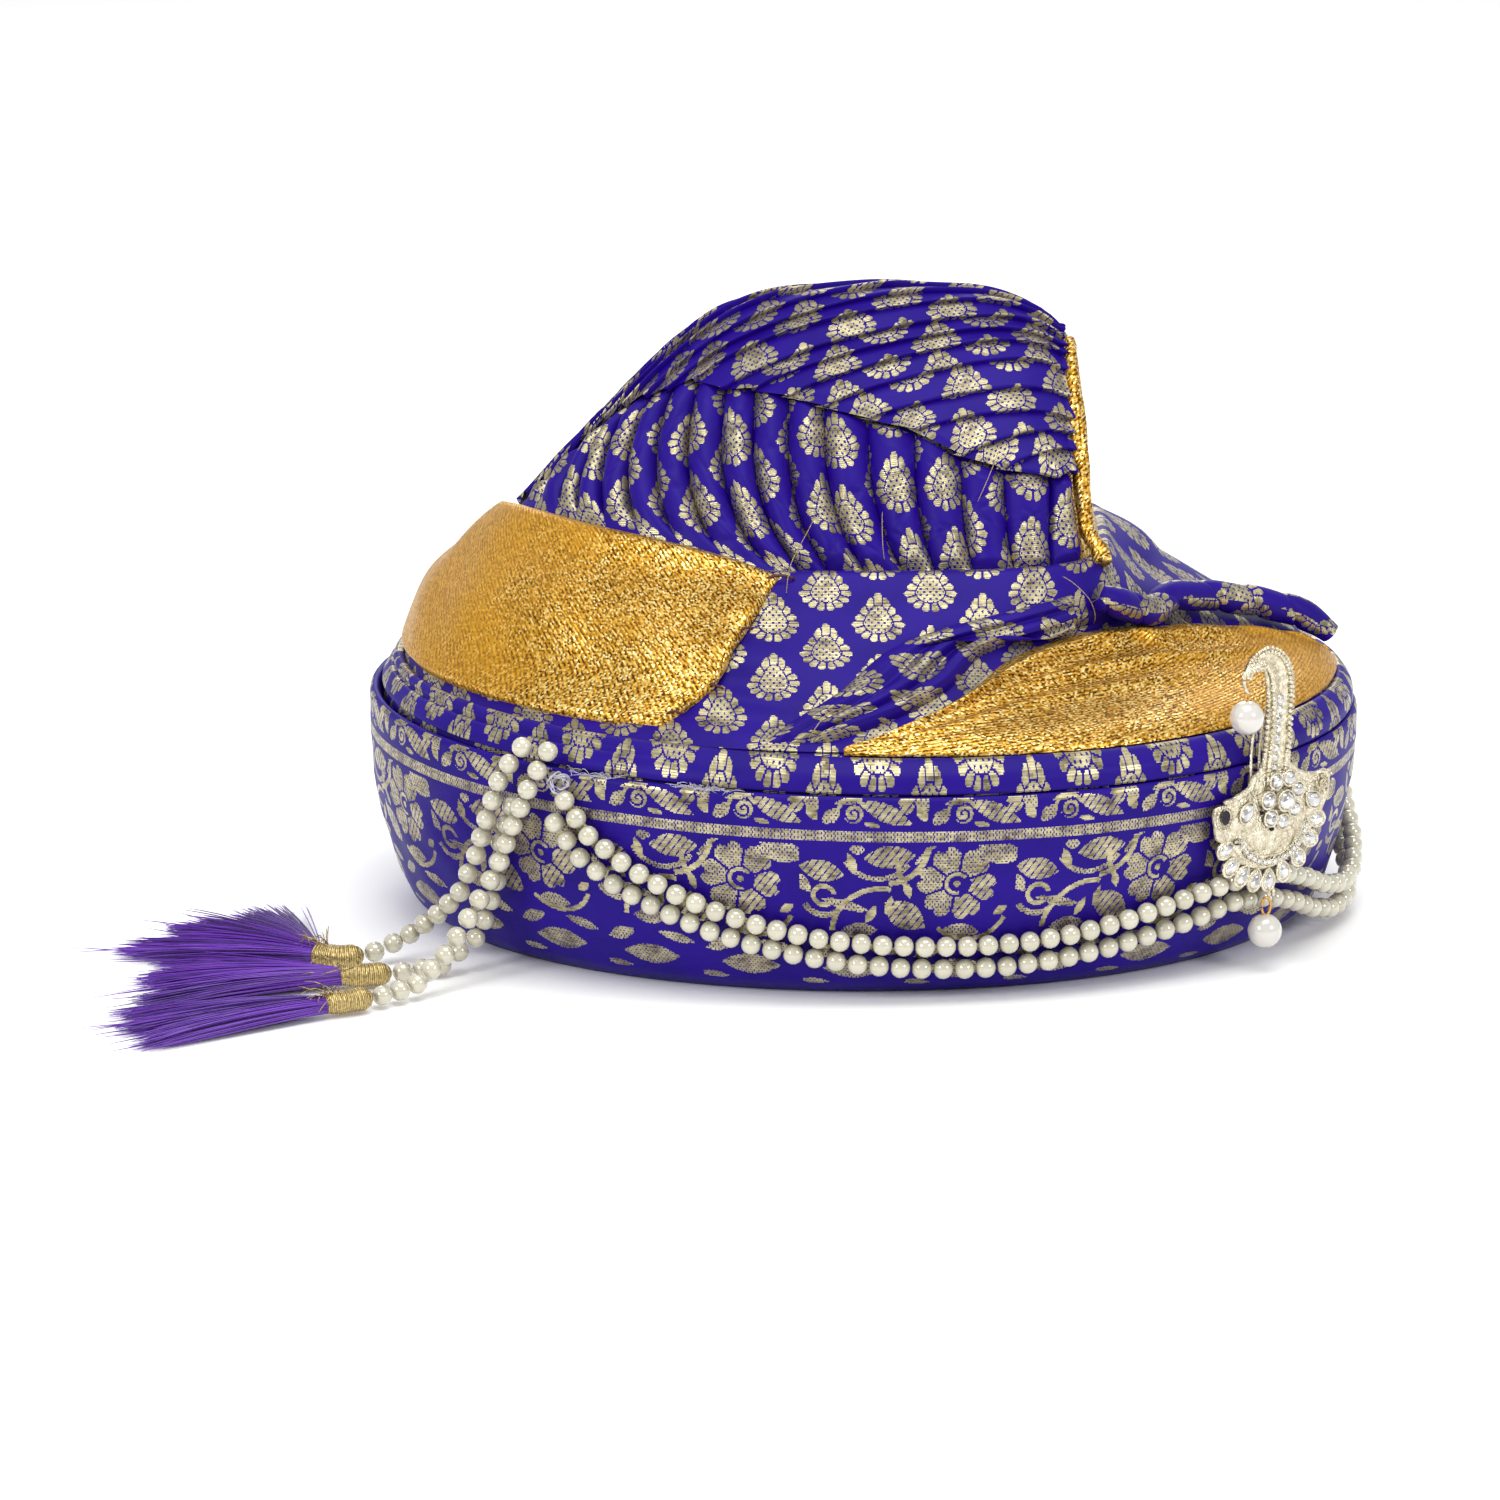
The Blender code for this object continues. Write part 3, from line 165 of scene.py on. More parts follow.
def run_along(points):
    """Distance along a line of points from the first: the sum of the steps between them."""
    return concatenate([[0], cumsum(np.linalg.norm(diff(points, axis=0), axis=1))])


def unit(vectors):
    """The same directions at length one."""
    return vectors / maximum(np.linalg.norm(vectors, axis=-1, keepdims=True), 1e-12)


def part_way(low, high, share):
    """The value at a share of the way from one to the other."""
    return low + (high - low) * share


def grid(points, cloth=None, wrap=False, flip=False):
    """A surface from rows and columns of points: row i and column j give corner (i, j) of a face."""
    rows, columns = points.shape[:2]
    cloth = np.zeros((rows, columns + 1, 2)) if cloth is None else cloth
    i, j = np.meshgrid(np.arange(rows - 1), np.arange(columns if wrap else columns - 1), indexing="ij")
    k = (j + 1) % columns
    corners = stack([i * columns + j, i * columns + k, (i + 1) * columns + k, (i + 1) * columns + j], -1)
    flat = stack([cloth[i, j], cloth[i, j + 1], cloth[i + 1, j + 1], cloth[i + 1, j]], -2)
    order = slice(None, None, -1) if flip else slice(None)
    return points.reshape(-1, 3), corners.reshape(-1, 4)[:, order], flat.reshape(-1, 4, 2)[:, order]


def make(name, parts, mat, slot_name, *nodes, smooth=True):
    """One piece from several grids, its doubles merged, its cloth places kept as a UV map in mm."""
    starts = cumsum([0] + [len(part[0]) for part in parts[:-1]])
    points = concatenate([part[0] for part in parts])
    corners = concatenate([part[1] + start for part, start in zip(parts, starts)])
    mesh = bpy.data.meshes.new(name)
    mesh.vertices.add(len(points))
    mesh.vertices.foreach_set("co", points.ravel())
    mesh.loops.add(corners.size)
    mesh.loops.foreach_set("vertex_index", corners.ravel().astype(np.int32))
    mesh.polygons.add(len(corners))
    mesh.polygons.foreach_set("loop_start", np.arange(len(corners), dtype=np.int32) * 4)
    mesh.update(calc_edges=True)
    places = concatenate([part[2] for part in parts]).ravel()
    mesh.uv_layers.new(name="cloth").data.foreach_set("uv", places)
    shape = bmesh.new()
    shape.from_mesh(mesh)
    bmesh.ops.remove_doubles(shape, verts=shape.verts, dist=1e-6)
    bmesh.ops.dissolve_degenerate(shape, edges=shape.edges, dist=1e-7)
    shape.to_mesh(mesh)
    shape.free()
    if smooth:
        mesh.shade_smooth()
    mesh.materials.append(mat)
    piece = bpy.data.objects.new(name, mesh)
    bpy.context.scene.collection.objects.link(piece)
    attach(piece, "root")
    if nodes:
        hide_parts(*nodes)
    return piece


def band_lip_height(angle):
    """Height of the band's top edge: level, with a fall of two tilts to the right and front."""
    a = radians(angle)
    return BAND_SEAT_HEIGHT + BAND_LIP_RISE - BAND_LIP_TILT * (cos(a) - sin(a))


def band_offset(share):
    """How far the face lies inside its widest line, read from a table over the seat's height."""
    return -BAND_TUCK * interp(share, (0, 0.07, 0.21, 0.48, 0.73, 0.94, 1.0),
                               (1, 0.67, 0.44, 0.22, 0.055, 0, 0.01))


def ring_point(angle, inward, height):
    """Point of an oval about the middle: half sizes plus the inward amount, times cosine and sine."""
    a = radians(angle)
    return MIDDLE + stack([(BAND_LENGTH / 2 + inward) * cos(a), (BAND_DEPTH / 2 + inward) * sin(a),
                           height + 0 * a], -1)


def rim_run(angle):
    """Distance round the band's widest line from its front middle, in mm: the sum of short chords."""
    fine = linspace(-270.0, 90.0, 1441)
    run = run_along(ring_point(fine, 0.0, 0.0))
    return 1000 * (interp(angle, fine, run) - interp(-90.0, fine, run))


def figure_leaf(add, place, u, v, half_length, half_width, turn):
    """A pointed leaf: where a squared plus b is under one, a and b being shares of its half sizes."""
    local = add("Mapping", place, (u, v, 0), (0, 0, radians(turn)), (half_length, half_width, 1),
                vector_type="TEXTURE")
    a, b = add("SeparateXYZ", local, out=(0, 1))
    return add("LESS_THAN", add("MULTIPLY_ADD", a, a, add("ABSOLUTE", b)), 1.0)


def figure_arc(add, place, u, v, radius, half_width, middle, half_turn):
    """A curved stroke: near one radius, and within half a turn of its middle direction."""
    local = add("Mapping", place, (u, v, 0), (0, 0, radians(middle)), (1, 1, 1), vector_type="TEXTURE")
    reach = add("VectorMath", local, operation="LENGTH")
    near = add("LESS_THAN", add("ABSOLUTE", add("SUBTRACT", reach, radius)), half_width)
    inside = add("GREATER_THAN", add("SeparateXYZ", local), add("MULTIPLY", reach, cos(radians(half_turn))))
    return add("MULTIPLY", near, inside)


def union(add, *shapes):
    """Any of the shapes: the largest of their values."""
    joined = shapes[0]
    for shape in shapes[1:]:
        joined = add("MAXIMUM", joined, shape)
    return joined


def drawn(add, place, *figures):
    """Any of the figures at a place: five numbers are a leaf and six a curved stroke."""
    return union(add, *[(figure_leaf if len(sizes) == 5 else figure_arc)(add, place, *sizes)
                        for sizes in figures])


def ground_dots(add, u, v, across, down):
    """Small grounds in half drop left between the picks: where two cosines' product is high."""
    rise = add("MULTIPLY", add("COSINE", add("MULTIPLY", u, 2 * pi / across)),
               add("COSINE", add("MULTIPLY", v, pi / down)))
    return add("LESS_THAN", rise, 0.5)


def border_figure(add, u, v):
    """The border's drawing, down from its top edge: scroll, twill stripe, flower trail, fragments.
    All sizes are in millimetres on the cloth."""
    dots = ground_dots(add, u, v, 1.3, 0.84)
    stripes = add("GREATER_THAN", add("PINGPONG", add("MULTIPLY_ADD", v, 0.75, u), 1.15), 0.24)

    def zone(shape, low, high):
        inside = add("MULTIPLY", add("GREATER_THAN", v, low), add("LESS_THAN", v, high))
        return add("MULTIPLY", shape, inside)

    def place(period_low, period_high, offset_u, offset_v):
        turned = add("WRAP", add("SUBTRACT", u, offset_u), period_high, period_low)
        return add("CombineXYZ", turned, add("SUBTRACT", v, offset_v), 0.0)

    def polar(at, up):
        centred = add("VectorMath", at, (0, up, 0), operation="SUBTRACT")
        x, y = add("SeparateXYZ", centred, out=(0, 1))
        return centred, x, y, add("VectorMath", centred, operation="LENGTH"), add("ARCTAN2", y, x)

    def filled(solid, striped, dotted):
        return union(add, solid, add("MULTIPLY", striped, stripes), add("MULTIPLY", dotted, dots))

    # The scroll, one repeat to 32 mm
    at = place(-10.0, 22.0, SCROLL_PHASE, 0.0)
    _, _, _, reach, turn = polar(at, 5.2)
    coil = add("FRACT", add("MULTIPLY_ADD", turn, -0.5 / pi, add("DIVIDE", reach, 1.9)))
    coil = add("MULTIPLY", add("LESS_THAN", coil, 0.62), add("LESS_THAN", reach, 2.8))
    solid = drawn(add, at, (-0.4, 5.0, 4.1, 0.5, -95, 75), (15.5, 0.9, 2.9, 1.5, -20),
                  (19.9, 5.0, 2.8, 1.5, 60), (5.4, 8.4, 2.6, 0.8, 10))
    striped = drawn(add, at, (9.6, 4.9, 8.2, 2.7, 24), (15.2, 3.6, 2.9, 1.6, -25))
    dotted = drawn(add, at, (-6.4, 6.0, 3.3, 2.0, -40), (20.6, 2.0, 3.0, 2.5, 10), (-1.0, 1.2, 4.6, 1.1, -12))
    scroll = zone(filled(union(add, coil, solid), striped, dotted), 0.2, 9.3)
    # The twill stripe, gold with rows of small grounds
    twill = zone(ground_dots(add, u, v, 1.15, 0.80), 10.3, 13.8)
    # The flower trail, one repeat to 64 mm: six notched petals round an eye, among leaves and stems
    at = place(-46.5, 17.5, FLOWER_PHASE, 14.8)
    middle, x, y, reach, turn = polar(at, 12.1)
    share = add("PINGPONG", add("MULTIPLY_ADD", turn, 3 / pi, 171 / 60), 0.5)
    bow = add("POWER", add("MULTIPLY", share, 2.0), 3.0)
    notch = add("MULTIPLY", add("MAXIMUM", add("MULTIPLY_ADD", share, -7.0, 1.0), 0.0), 1.6)
    rim = add("SUBTRACT", add("MULTIPLY_ADD", bow, -3.4, 12.0), notch)
    lobe = add("MULTIPLY", add("LESS_THAN", reach, rim), add("GREATER_THAN", reach, 4.3))
    apart = add("MULTIPLY", add("SUBTRACT", 0.5, share), add("MULTIPLY", reach, 1.047))
    petals = add("MULTIPLY", lobe, add("GREATER_THAN", apart, 0.42))
    right_side = add("GREATER_THAN", add("MULTIPLY_ADD", y, 0.55, x), 3.6)
    petal_fill = add("ADD", add("MULTIPLY", right_side, stripes),
                     add("MULTIPLY", add("SUBTRACT", 1.0, right_side), dots))
    petals = add("MULTIPLY", petals, petal_fill)
    eye = union(add, add("LESS_THAN", reach, 1.0), drawn(add, middle, (0, 0, 3.1, 0.55, 200, 125)))
    solid = drawn(add, at, (-21.6, -1.1, 13.1, 0.85, 45, 38), (-22.5, 28.0, 14.4, 0.8, -128, 50),
                  (3.6, 18.0, 12.4, 0.7, 80, 55), (-39.3, 16.2, 3.1, 0.7, 200, 150),
                  (-8.0, 6.0, 9.4, 0.8, 165, 26), (-25.3, 21.8, 3.2, 1.3, -62), (-20.0, 19.0, 3.4, 1.0, -75),
                  (-14.5, 14.0, 2.8, 1.2, 75), (-31.0, 5.6, 3.4, 1.3, 70), (13.5, 21.0, 2.4, 1.3, -35))
    striped = drawn(add, at, (-39.9, 8.1, 6.8, 3.4, 12), (-20.0, 3.4, 7.7, 3.5, -5),
                    (-15.1, 22.4, 7.4, 4.3, 35))
    dotted = drawn(add, at, (-46.0, 12.0, 4.2, 2.0, 50), (-23.5, -0.3, 10.7, 0.8, 92, 58),
                   (0.0, 12.1, 13.9, 0.55, -105, 47), (-39.3, 16.0, 6.6, 0.9, 100, 50),
                   (12.5, 2.6, 7.4, 3.4, 8), (-29.4, 1.2, 2.4, 1.5, 0), (-33.0, 19.0, 7.5, 1.5, 14),
                   (-29.0, 27.4, 5.6, 2.6, -4), (2.0, 27.6, 5.6, 2.4, 4))
    trail = zone(union(add, petals, eye, filled(solid, striped, dotted)), 14.8, 48.0)
    # Fragments of the next repeat along the foot
    foot = drawn(add, place(-16.0, 16.0, FLOWER_PHASE + 1.5, 55.5), (0, 0, 9.4, 3.6, 0),
                 (-12.5, 5.4, 5.0, 1.2, 3), (9.0, -7.0, 6.0, 1.6, 12), (-9.0, -6.2, 5.0, 2.0, -20))
    return union(add, scroll, twill, trail, zone(add("MULTIPLY", foot, dots), 46.5, 62.5))


def brocade(name, draw, raised=True):
    """Satin woven with gold thread: the drawing gives the figures in steps of one thread, and they
    stand up from the satin where the figure is simple enough for the relief to follow it. The gold's
    brightness is painted light: random glints on single floats, broad patches of painted light and
    shade, and painted shade between the picks."""
    mat, add = finish(name, specular_ior_level=0.12)
    cloth = add("UVMap", uv_map="cloth")
    stepped = add("VectorMath", cloth, (STEP_ACROSS, STEP_DOWN, 1), operation="SNAP")
    u, v = add("SeparateXYZ", stepped, out=(0, 1))
    figure = draw(add, add("ADD", u, STEP_ACROSS / 2), add("ADD", v, STEP_DOWN / 2))
    x, y = add("SeparateXYZ", cloth, out=(0, 1))
    rows = add("DIVIDE", y, PICK)
    pick = add("FLOOR", rows)
    # Each pick is lighter along its crown and darker at its edges: painted shade between the picks, also used
    # in the relief
    crown = add("POWER", add("MULTIPLY", add("PINGPONG", add("ADD", rows, 0.5), 0.5), 2.0), 0.5)
    # Each float takes a random brightness: painted glints of the flat thread, also used in the relief
    float_at = add("FLOOR", add("MULTIPLY_ADD", pick, 0.37, add("DIVIDE", x, 2.1)))
    thread = add("TexWhiteNoise", add("CombineXYZ", float_at, pick, 0.0), noise_dimensions="2D")
    # Broad patches of painted light and shade over the gold
    painted_light_patches = add("TexNoise", cloth, 0.16, 2.0, noise_dimensions="2D")
    shine = add("MULTIPLY_ADD", thread, 0.45, add("MULTIPLY_ADD", painted_light_patches, 1.3, -0.32))
    shine = add("MULTIPLY", shine, add("MULTIPLY_ADD", crown, 0.5, 0.58), use_clamp=True)
    gold = add("Mix", shine, ZARI_DARK, ZARI_LIGHT, data_type="RGBA")
    twill = add("PINGPONG", add("DIVIDE", add("ADD", x, y), 0.9), 0.5)
    tone = add("MULTIPLY_ADD", twill, 0.25, add("TexNoise", cloth, 0.05, 3.0, noise_dimensions="2D"))
    satin = add("Mix", tone, "140260", "240684", data_type="RGBA")
    relief = add("MULTIPLY_ADD", crown, 0.5, add("MULTIPLY_ADD", thread, 0.3, 0.6))
    relief = add("MULTIPLY", figure if raised else 0.5, relief)
    relief = add("ADD", relief, add("MULTIPLY", twill, 0.10))
    dress(mat, base_color=add("Mix", figure, satin, gold, data_type="RGBA"),
          metallic=add("MULTIPLY", figure, 0.82), roughness=add("MULTIPLY_ADD", figure, -0.13, 0.47),
          normal=add("Bump", 1.0, 0.00010, None, relief))
    return mat


SCROLL_PHASE, FLOWER_PHASE = 27.3, 25.9
# Woven border: smooth violet satin that takes a soft light, gold figures stepped by the loom, with
# short bright floats painted into the gold as glints where the flat thread turns to the lamp, and painted
# shade between the picks.
border_cloth = brocade("woven border brocade", border_figure, raised=False)

angles = linspace(-270, 90, 421)
lip = band_lip_height(angles)
outer_share = linspace(0, 0.94, 34)
LIP_ROUND = 0.0024
# Section, from the foot up the face, over the lip, across the seat and down the inside
profile = [(band_offset(share), BAND_SEAT_HEIGHT * share) for share in outer_share]
profile += [(-BAND_LIP / 2 + BAND_LIP / 2 * cos(t), lip - LIP_ROUND + LIP_ROUND * sin(t))
            for t in linspace(0.15, pi, 11)]
profile += [(-BAND_LIP, BAND_SEAT_HEIGHT), (-BAND_LIP - BAND_SEAT_WIDTH, BAND_SEAT_HEIGHT)]
profile += [(-BAND_TUCK - BAND_WALL * (0.80 + 0.20 * (1 - t)) + 0.0016 * sin(pi * t),
             BAND_SEAT_HEIGHT * (0.55 * t + 0.40 * t**4)) for t in linspace(1, 0, 16)]
profile += [(-BAND_TUCK, 0.0)]
shell = stack([ring_point(angles, inward, height) for inward, height in profile])
# Soft unevenness of the wadding under the cloth, dying out at the foot and the top edge
rows = np.arange(len(profile))[:, None]
swell = np.where(rows < 34, sin(pi * clip(rows / 33, 0, 1)) ** 0.7, 0)
uneven = (0.00035 * sin(radians(angles * 7 + 40)) * cos(rows / 33 * 5.0)
          + 0.00025 * sin(radians(angles * 17 - rows * 9))
          + 0.00018 * sin(radians(angles * 31 + rows * 22)))
outward = stack([cos(radians(angles)), sin(radians(angles)), 0 * angles], -1)
shell = shell + (swell * uneven)[..., None] * outward
steps = np.linalg.norm(diff(shell, axis=0), axis=-1)
down = concatenate([np.zeros((1, len(angles))), cumsum(steps, axis=0)])
# Cloth places are counted down from the band's top edge
EDGE_ROW = 38
down = 1000 * (down[EDGE_ROW] - down)
cloth = stack([np.broadcast_to(rim_run(angles), down.shape), down], -1)
band = make("padded_band", [grid(shell, cloth)], border_cloth, "border_brocade", "base_band")

# The crown: the saree's body cloth drawn over a stiffened form and wound round it. Every other
# woven figure is a sunflower-like buta, set in half drop. The front panel lies over the feet of the
# pleats with its top edge turned in, and the far side is wound in a few soft wraps.
TOTAL_HEIGHT = 0.1885
CROWN_WALL = 0.0032
CREST_RECESS = 0.0058
CREST_LEVEL = 7.0
CROWN_HALF_LENGTH = BAND_LENGTH / 2 - BAND_LIP - CLEARANCE
CROWN_HALF_DEPTH = BAND_DEPTH / 2 - BAND_LIP - CLEARANCE
CROWN_FOOT = BAND_SEAT_HEIGHT + CLEARANCE
CROWN_RISE = TOTAL_HEIGHT - CROWN_FOOT
# One row for each level: rise, left, right, near, far, the two right-hand powers, bulge
CROWN_SECTIONS = np.array([
    (0.000, -1.000, 1.000, -1.000, 1.000, 2.0, 2.0, 0.000),
    (0.061, -0.993, 0.997, -0.991, 0.996, 2.0, 2.0, 0.000),
    (0.123, -0.962, 0.962, -0.910, 0.953, 1.9, 2.0, 0.000),
    (0.169, -0.942, 0.915, -0.815, 0.910, 1.5, 2.1, 0.000),
    (0.215, -0.922, 0.833, -0.747, 0.867, 1.45, 2.2, 0.000),
    (0.276, -0.894, 0.689, -0.652, 0.790, 1.6, 2.3, 0.055),
    (0.345, -0.836, 0.567, -0.532, 0.687, 2.8, 2.6, 0.096),
    (0.421, -0.778, 0.505, -0.395, 0.584, 4.0, 4.6, 0.000),
    (0.513, -0.693, 0.478, -0.326, 0.506, 4.0, 4.2, 0.000),
    (0.628, -0.597, 0.464, -0.249, 0.429, 4.0, 4.0, 0.000),
    (0.759, -0.485, 0.450, -0.146, 0.352, 3.8, 3.8, 0.000),
    (0.866, -0.386, 0.416, -0.052, 0.283, 3.2, 3.2, 0.000),
    (0.943, -0.283, 0.341, 0.017, 0.223, 2.6, 2.6, 0.000),
    (0.985, -0.137, 0.225, 0.060, 0.163, 2.2, 2.2, 0.000),
    (1.000, 0.027, 0.027, 0.107, 0.107, 2.0, 2.0, 0.000),
])
TOP_LEVEL = len(CROWN_SECTIONS) - 1


def cubic_rows(table, where):
    """Rows of a table read between its rows, on a cubic that doesn't overshoot them."""
    table = np.asarray(table, float)
    where = clip(np.asarray(where, float), 0, len(table) - 1)
    i = minimum(np.floor(where).astype(int), len(table) - 2)
    f = (where - i)[..., None]
    steps = diff(table, axis=0)
    before, after = np.vstack([steps[:1], steps]), np.vstack([steps, steps[-1:]])
    both = before + after
    slope = np.where(before * after > 0, 2 * before * after / np.where(both == 0, 1, both), 0)
    a, b = table[i], table[i + 1]
    return ((2 * f**3 - 3 * f**2 + 1) * a + (f**3 - 2 * f**2 + f) * slope[i]
            + (3 * f**2 - 2 * f**3) * b + (f**3 - f**2) * slope[i + 1])


def crown_section(level):
    """Height, centre, half sizes, powers and bulge of the crown's section at a level."""
    row = np.moveaxis(cubic_rows(CROWN_SECTIONS, level), -1, 0)
    rise, left, right, near, far, power_near, power_far, bulge = row
    return (CROWN_FOOT + CROWN_RISE * rise, CROWN_HALF_LENGTH * (left + right) / 2,
            CROWN_HALF_LENGTH * (right - left) / 2, CROWN_HALF_DEPTH * (near + far) / 2,
            CROWN_HALF_DEPTH * (far - near) / 2, power_near, power_far, CROWN_HALF_LENGTH * bulge)


def crown_bare(angle, level):
    """A superellipse at each level: half sizes times cosine and sine over their power mean."""
    angle, level = np.broadcast_arrays(np.asarray(angle, float), np.asarray(level, float))
    height, centre_x, half_x, centre_y, half_y, power_near, power_far, bulge = crown_section(level)
    c, s = cos(radians(angle)), sin(radians(angle))
    power = np.where(c > 0, np.where(s < 0, power_near, power_far), 2.0)
    reach = (np.abs(c) ** power + np.abs(s) ** power) ** (1 / power)
    x = centre_x + half_x * c / reach + bulge * 2 * maximum(c, 0) * maximum(s, 0)
    return MIDDLE + stack([x, centre_y + half_y * s / reach, height], -1)


def crown_point(angle, level, lift=0.0):
    """The crown's form at an angle and level, moved along its normal by the lift."""
    around = crown_bare(np.add(angle, 0.5), level) - crown_bare(np.subtract(angle, 0.5), level)
    up = (crown_bare(angle, minimum(np.add(level, 0.05), TOP_LEVEL - 0.02))
          - crown_bare(angle, maximum(np.subtract(level, 0.05), 0)))
    normal = np.cross(around, up)
    return crown_bare(angle, level) + unit(normal) * np.asarray(lift, float)[..., None]


def run_across(points, start=None):
    """Distance along each row of a grid of points in mm, counted from one column."""
    steps = np.linalg.norm(diff(points, axis=1), axis=-1)
    run = 1000 * concatenate([np.zeros((len(points), 1)), cumsum(steps, axis=1)], axis=1)
    return run if start is None else run - run[:, start:start + 1]


def run_down(points, start=None):
    """Distance along each column of a grid of points in mm, counted from one row."""
    return run_across(np.swapaxes(points, 0, 1), start).T


def straight_cloth(points, start=None):
    """Cloth places in mm that follow the rows and columns of a grid of points."""
    return stack([run_across(points, start), -run_down(points)], -1)


def read_table(table, i, j):
    """Rows of numbers read between a table's entries, in proportion both ways."""
    i0, j0 = i.astype(int), j.astype(int)
    fi, fj = (i - i0)[..., None], (j - j0)[..., None]
    return ((table[i0, j0] * (1 - fj) + table[i0, j0 + 1] * fj) * (1 - fi)
            + (table[i0 + 1, j0] * (1 - fj) + table[i0 + 1, j0 + 1] * fj) * fi)


def crown_cloth(angle, level):
    """Where the body cloth lies on the crown: across from x 0 on its own level, down from level 7."""
    fine_angle, fine_level = linspace(-250, 110, 361), linspace(0, TOP_LEVEL - 0.5, 109)
    form = crown_bare(fine_angle[None, :], fine_level[:, None])
    across, front = run_across(form), slice(100, 240)
    at_zero = [interp(MIDDLE[0], row[front, 0], run[front]) for row, run in zip(form, across)]
    places = stack([across - np.array(at_zero)[:, None], -run_down(form, 56)], -1)
    i = clip(np.asarray(level, float) / (fine_level[1] - fine_level[0]), 0, 107.999)
    j = clip(np.asarray(angle, float) - fine_angle[0], 0, 359.999)
    return read_table(places, *np.broadcast_arrays(i, j))


def buta_figure(add, u, v):
    """A drop-shaped core of small grounds with fifteen petals and a leaf on top, in half drop: the
    nearer of two lattices, 31 by 24.8 mm, narrowed upwards, then rings told apart by radius and
    petals by angle."""
    place = add("CombineXYZ", u, v, 0.0)
    moved = add("VectorMath", place, (15.5, 12.4, 0), operation="ADD")
    first, second = (add("VectorMath", at, (15.5, 12.4, 1), (-15.5, -12.4, -1), operation="WRAP")
                     for at in (place, moved))
    near = [add("VectorMath", add("VectorMath", at, (1.0, 1.25, 1.0), operation="MULTIPLY"),
                operation="LENGTH") for at in (first, second)]
    pick = add("LESS_THAN", near[1], near[0])
    at = add("Mix", pick, first, second, data_type="VECTOR")
    x, y = add("SeparateXYZ", at, out=(0, 1))
    above = add("MAXIMUM", add("MULTIPLY", y, -1.0), 0.0)
    narrowed = add("MULTIPLY", x, add("MULTIPLY_ADD", above, 0.048, 1.0))
    reach = add("VectorMath", add("CombineXYZ", narrowed, y, 0.0),
                operation="LENGTH")
    turn = add("ARCTAN2", narrowed, add("MULTIPLY", y, -1.0))
    upward = add("MAXIMUM", add("COSINE", turn), 0.0)
    core_edge = add("MULTIPLY_ADD", add("POWER", upward, 4.0), 2.6, 4.2)
    dots = ground_dots(add, x, y, 1.9, 1.35)
    core = add("MULTIPLY", add("LESS_THAN", reach, core_edge), dots)
    share = add("PINGPONG", add("MULTIPLY", turn, 7.5 / pi), 0.5)
    rim = add("MULTIPLY_ADD", add("POWER", add("MULTIPLY", share, 2.0), 3.0), -1.6,
              add("MULTIPLY_ADD", add("POWER", upward, 14.0), 1.6, add("ADD", core_edge, 3.6)))
    ring = add("MULTIPLY", add("LESS_THAN", reach, rim),
               add("GREATER_THAN", reach, add("ADD", core_edge, 0.45)))
    apart = add("MULTIPLY", add("SUBTRACT", 0.5, share), add("MULTIPLY", reach, 0.4189))
    petals = add("MULTIPLY", ring, add("GREATER_THAN", apart, 0.30))
    return add("MAXIMUM", core, petals)


# Body cloth: the same satin, with the buta in flat gold thread; the same painted glints and shade in the gold
# as the border.
BUTA_PHASE = (18.8, 9.4)
body_cloth = brocade("woven buta brocade", buta_figure)

# Outer wall down from the top, then the inner wall, as one closed shell
angles = linspace(-250, 110, 301)
levels = concatenate([linspace(0, CREST_LEVEL - 0.05, 90), [CREST_LEVEL - 0.01, CREST_LEVEL + 0.03],
                         linspace(CREST_LEVEL + 0.2, TOP_LEVEL - 0.06, 30)])[:, None]
wraps = maximum(cos(radians(angles - 75)) + 0.1, 0)
ridge = np.abs(sin(pi * (levels / 1.55 + (angles + 30) / 150)))
lift = -0.0017 * wraps * (1 - ridge ** 0.55) * sin(pi * clip(levels / 6.9, 0, 1)) ** 0.5
lift = lift + np.where(levels > CREST_LEVEL, -CREST_RECESS, 0.0)
lift = lift - 0.0016 * clip((levels - 6.86) / 0.14, 0, 1) ** 2 * (levels <= CREST_LEVEL)
outer = crown_point(angles, levels, lift)
inner_levels = linspace(TOP_LEVEL - 0.06, 0, 70)[:, None]
inner = crown_point(angles, inner_levels, np.where(inner_levels > CREST_LEVEL - 0.5, -CREST_RECESS, 0.0)
                    - CROWN_WALL + 0 * angles)
inner[-1, :, 2] = outer[0, :, 2]
cap = np.broadcast_to(outer[-1].mean(axis=0), outer[-1:].shape)
under_cap = np.broadcast_to(inner[0].mean(axis=0), inner[:1].shape)
shell = concatenate([outer, cap, under_cap, inner, outer[:1]])
shell_levels = concatenate([levels, levels[-1:], inner_levels[:1], inner_levels, levels[:1]])
cloth = crown_cloth(angles, clip(shell_levels, 0, 13.4)) - BUTA_PHASE
make("crown_cloth", [grid(shell, cloth)], body_cloth, "brocade", "crown_shell")


def declare_sheet(piece, held, rests_on, *grids):
    """Measures a sheet's cut: the length of its grids' middle rows, and its area over that; the sums are not
    kept.
    """
    area = length = 0.0
    for points in grids:
        across, downward = diff(points, axis=1)[:-1], diff(points, axis=0)[:, :-1]
        area += np.linalg.norm(np.cross(across, downward), axis=-1).sum()
        length += np.linalg.norm(diff(points[len(points) // 2], axis=0), axis=1).sum()


def rim_level(angle, rise):
    """Level of the crown's form at a height above the band's top edge."""
    table = linspace(0, 4, 81)
    return interp(band_lip_height(angle) + rise, crown_section(table)[0], table)


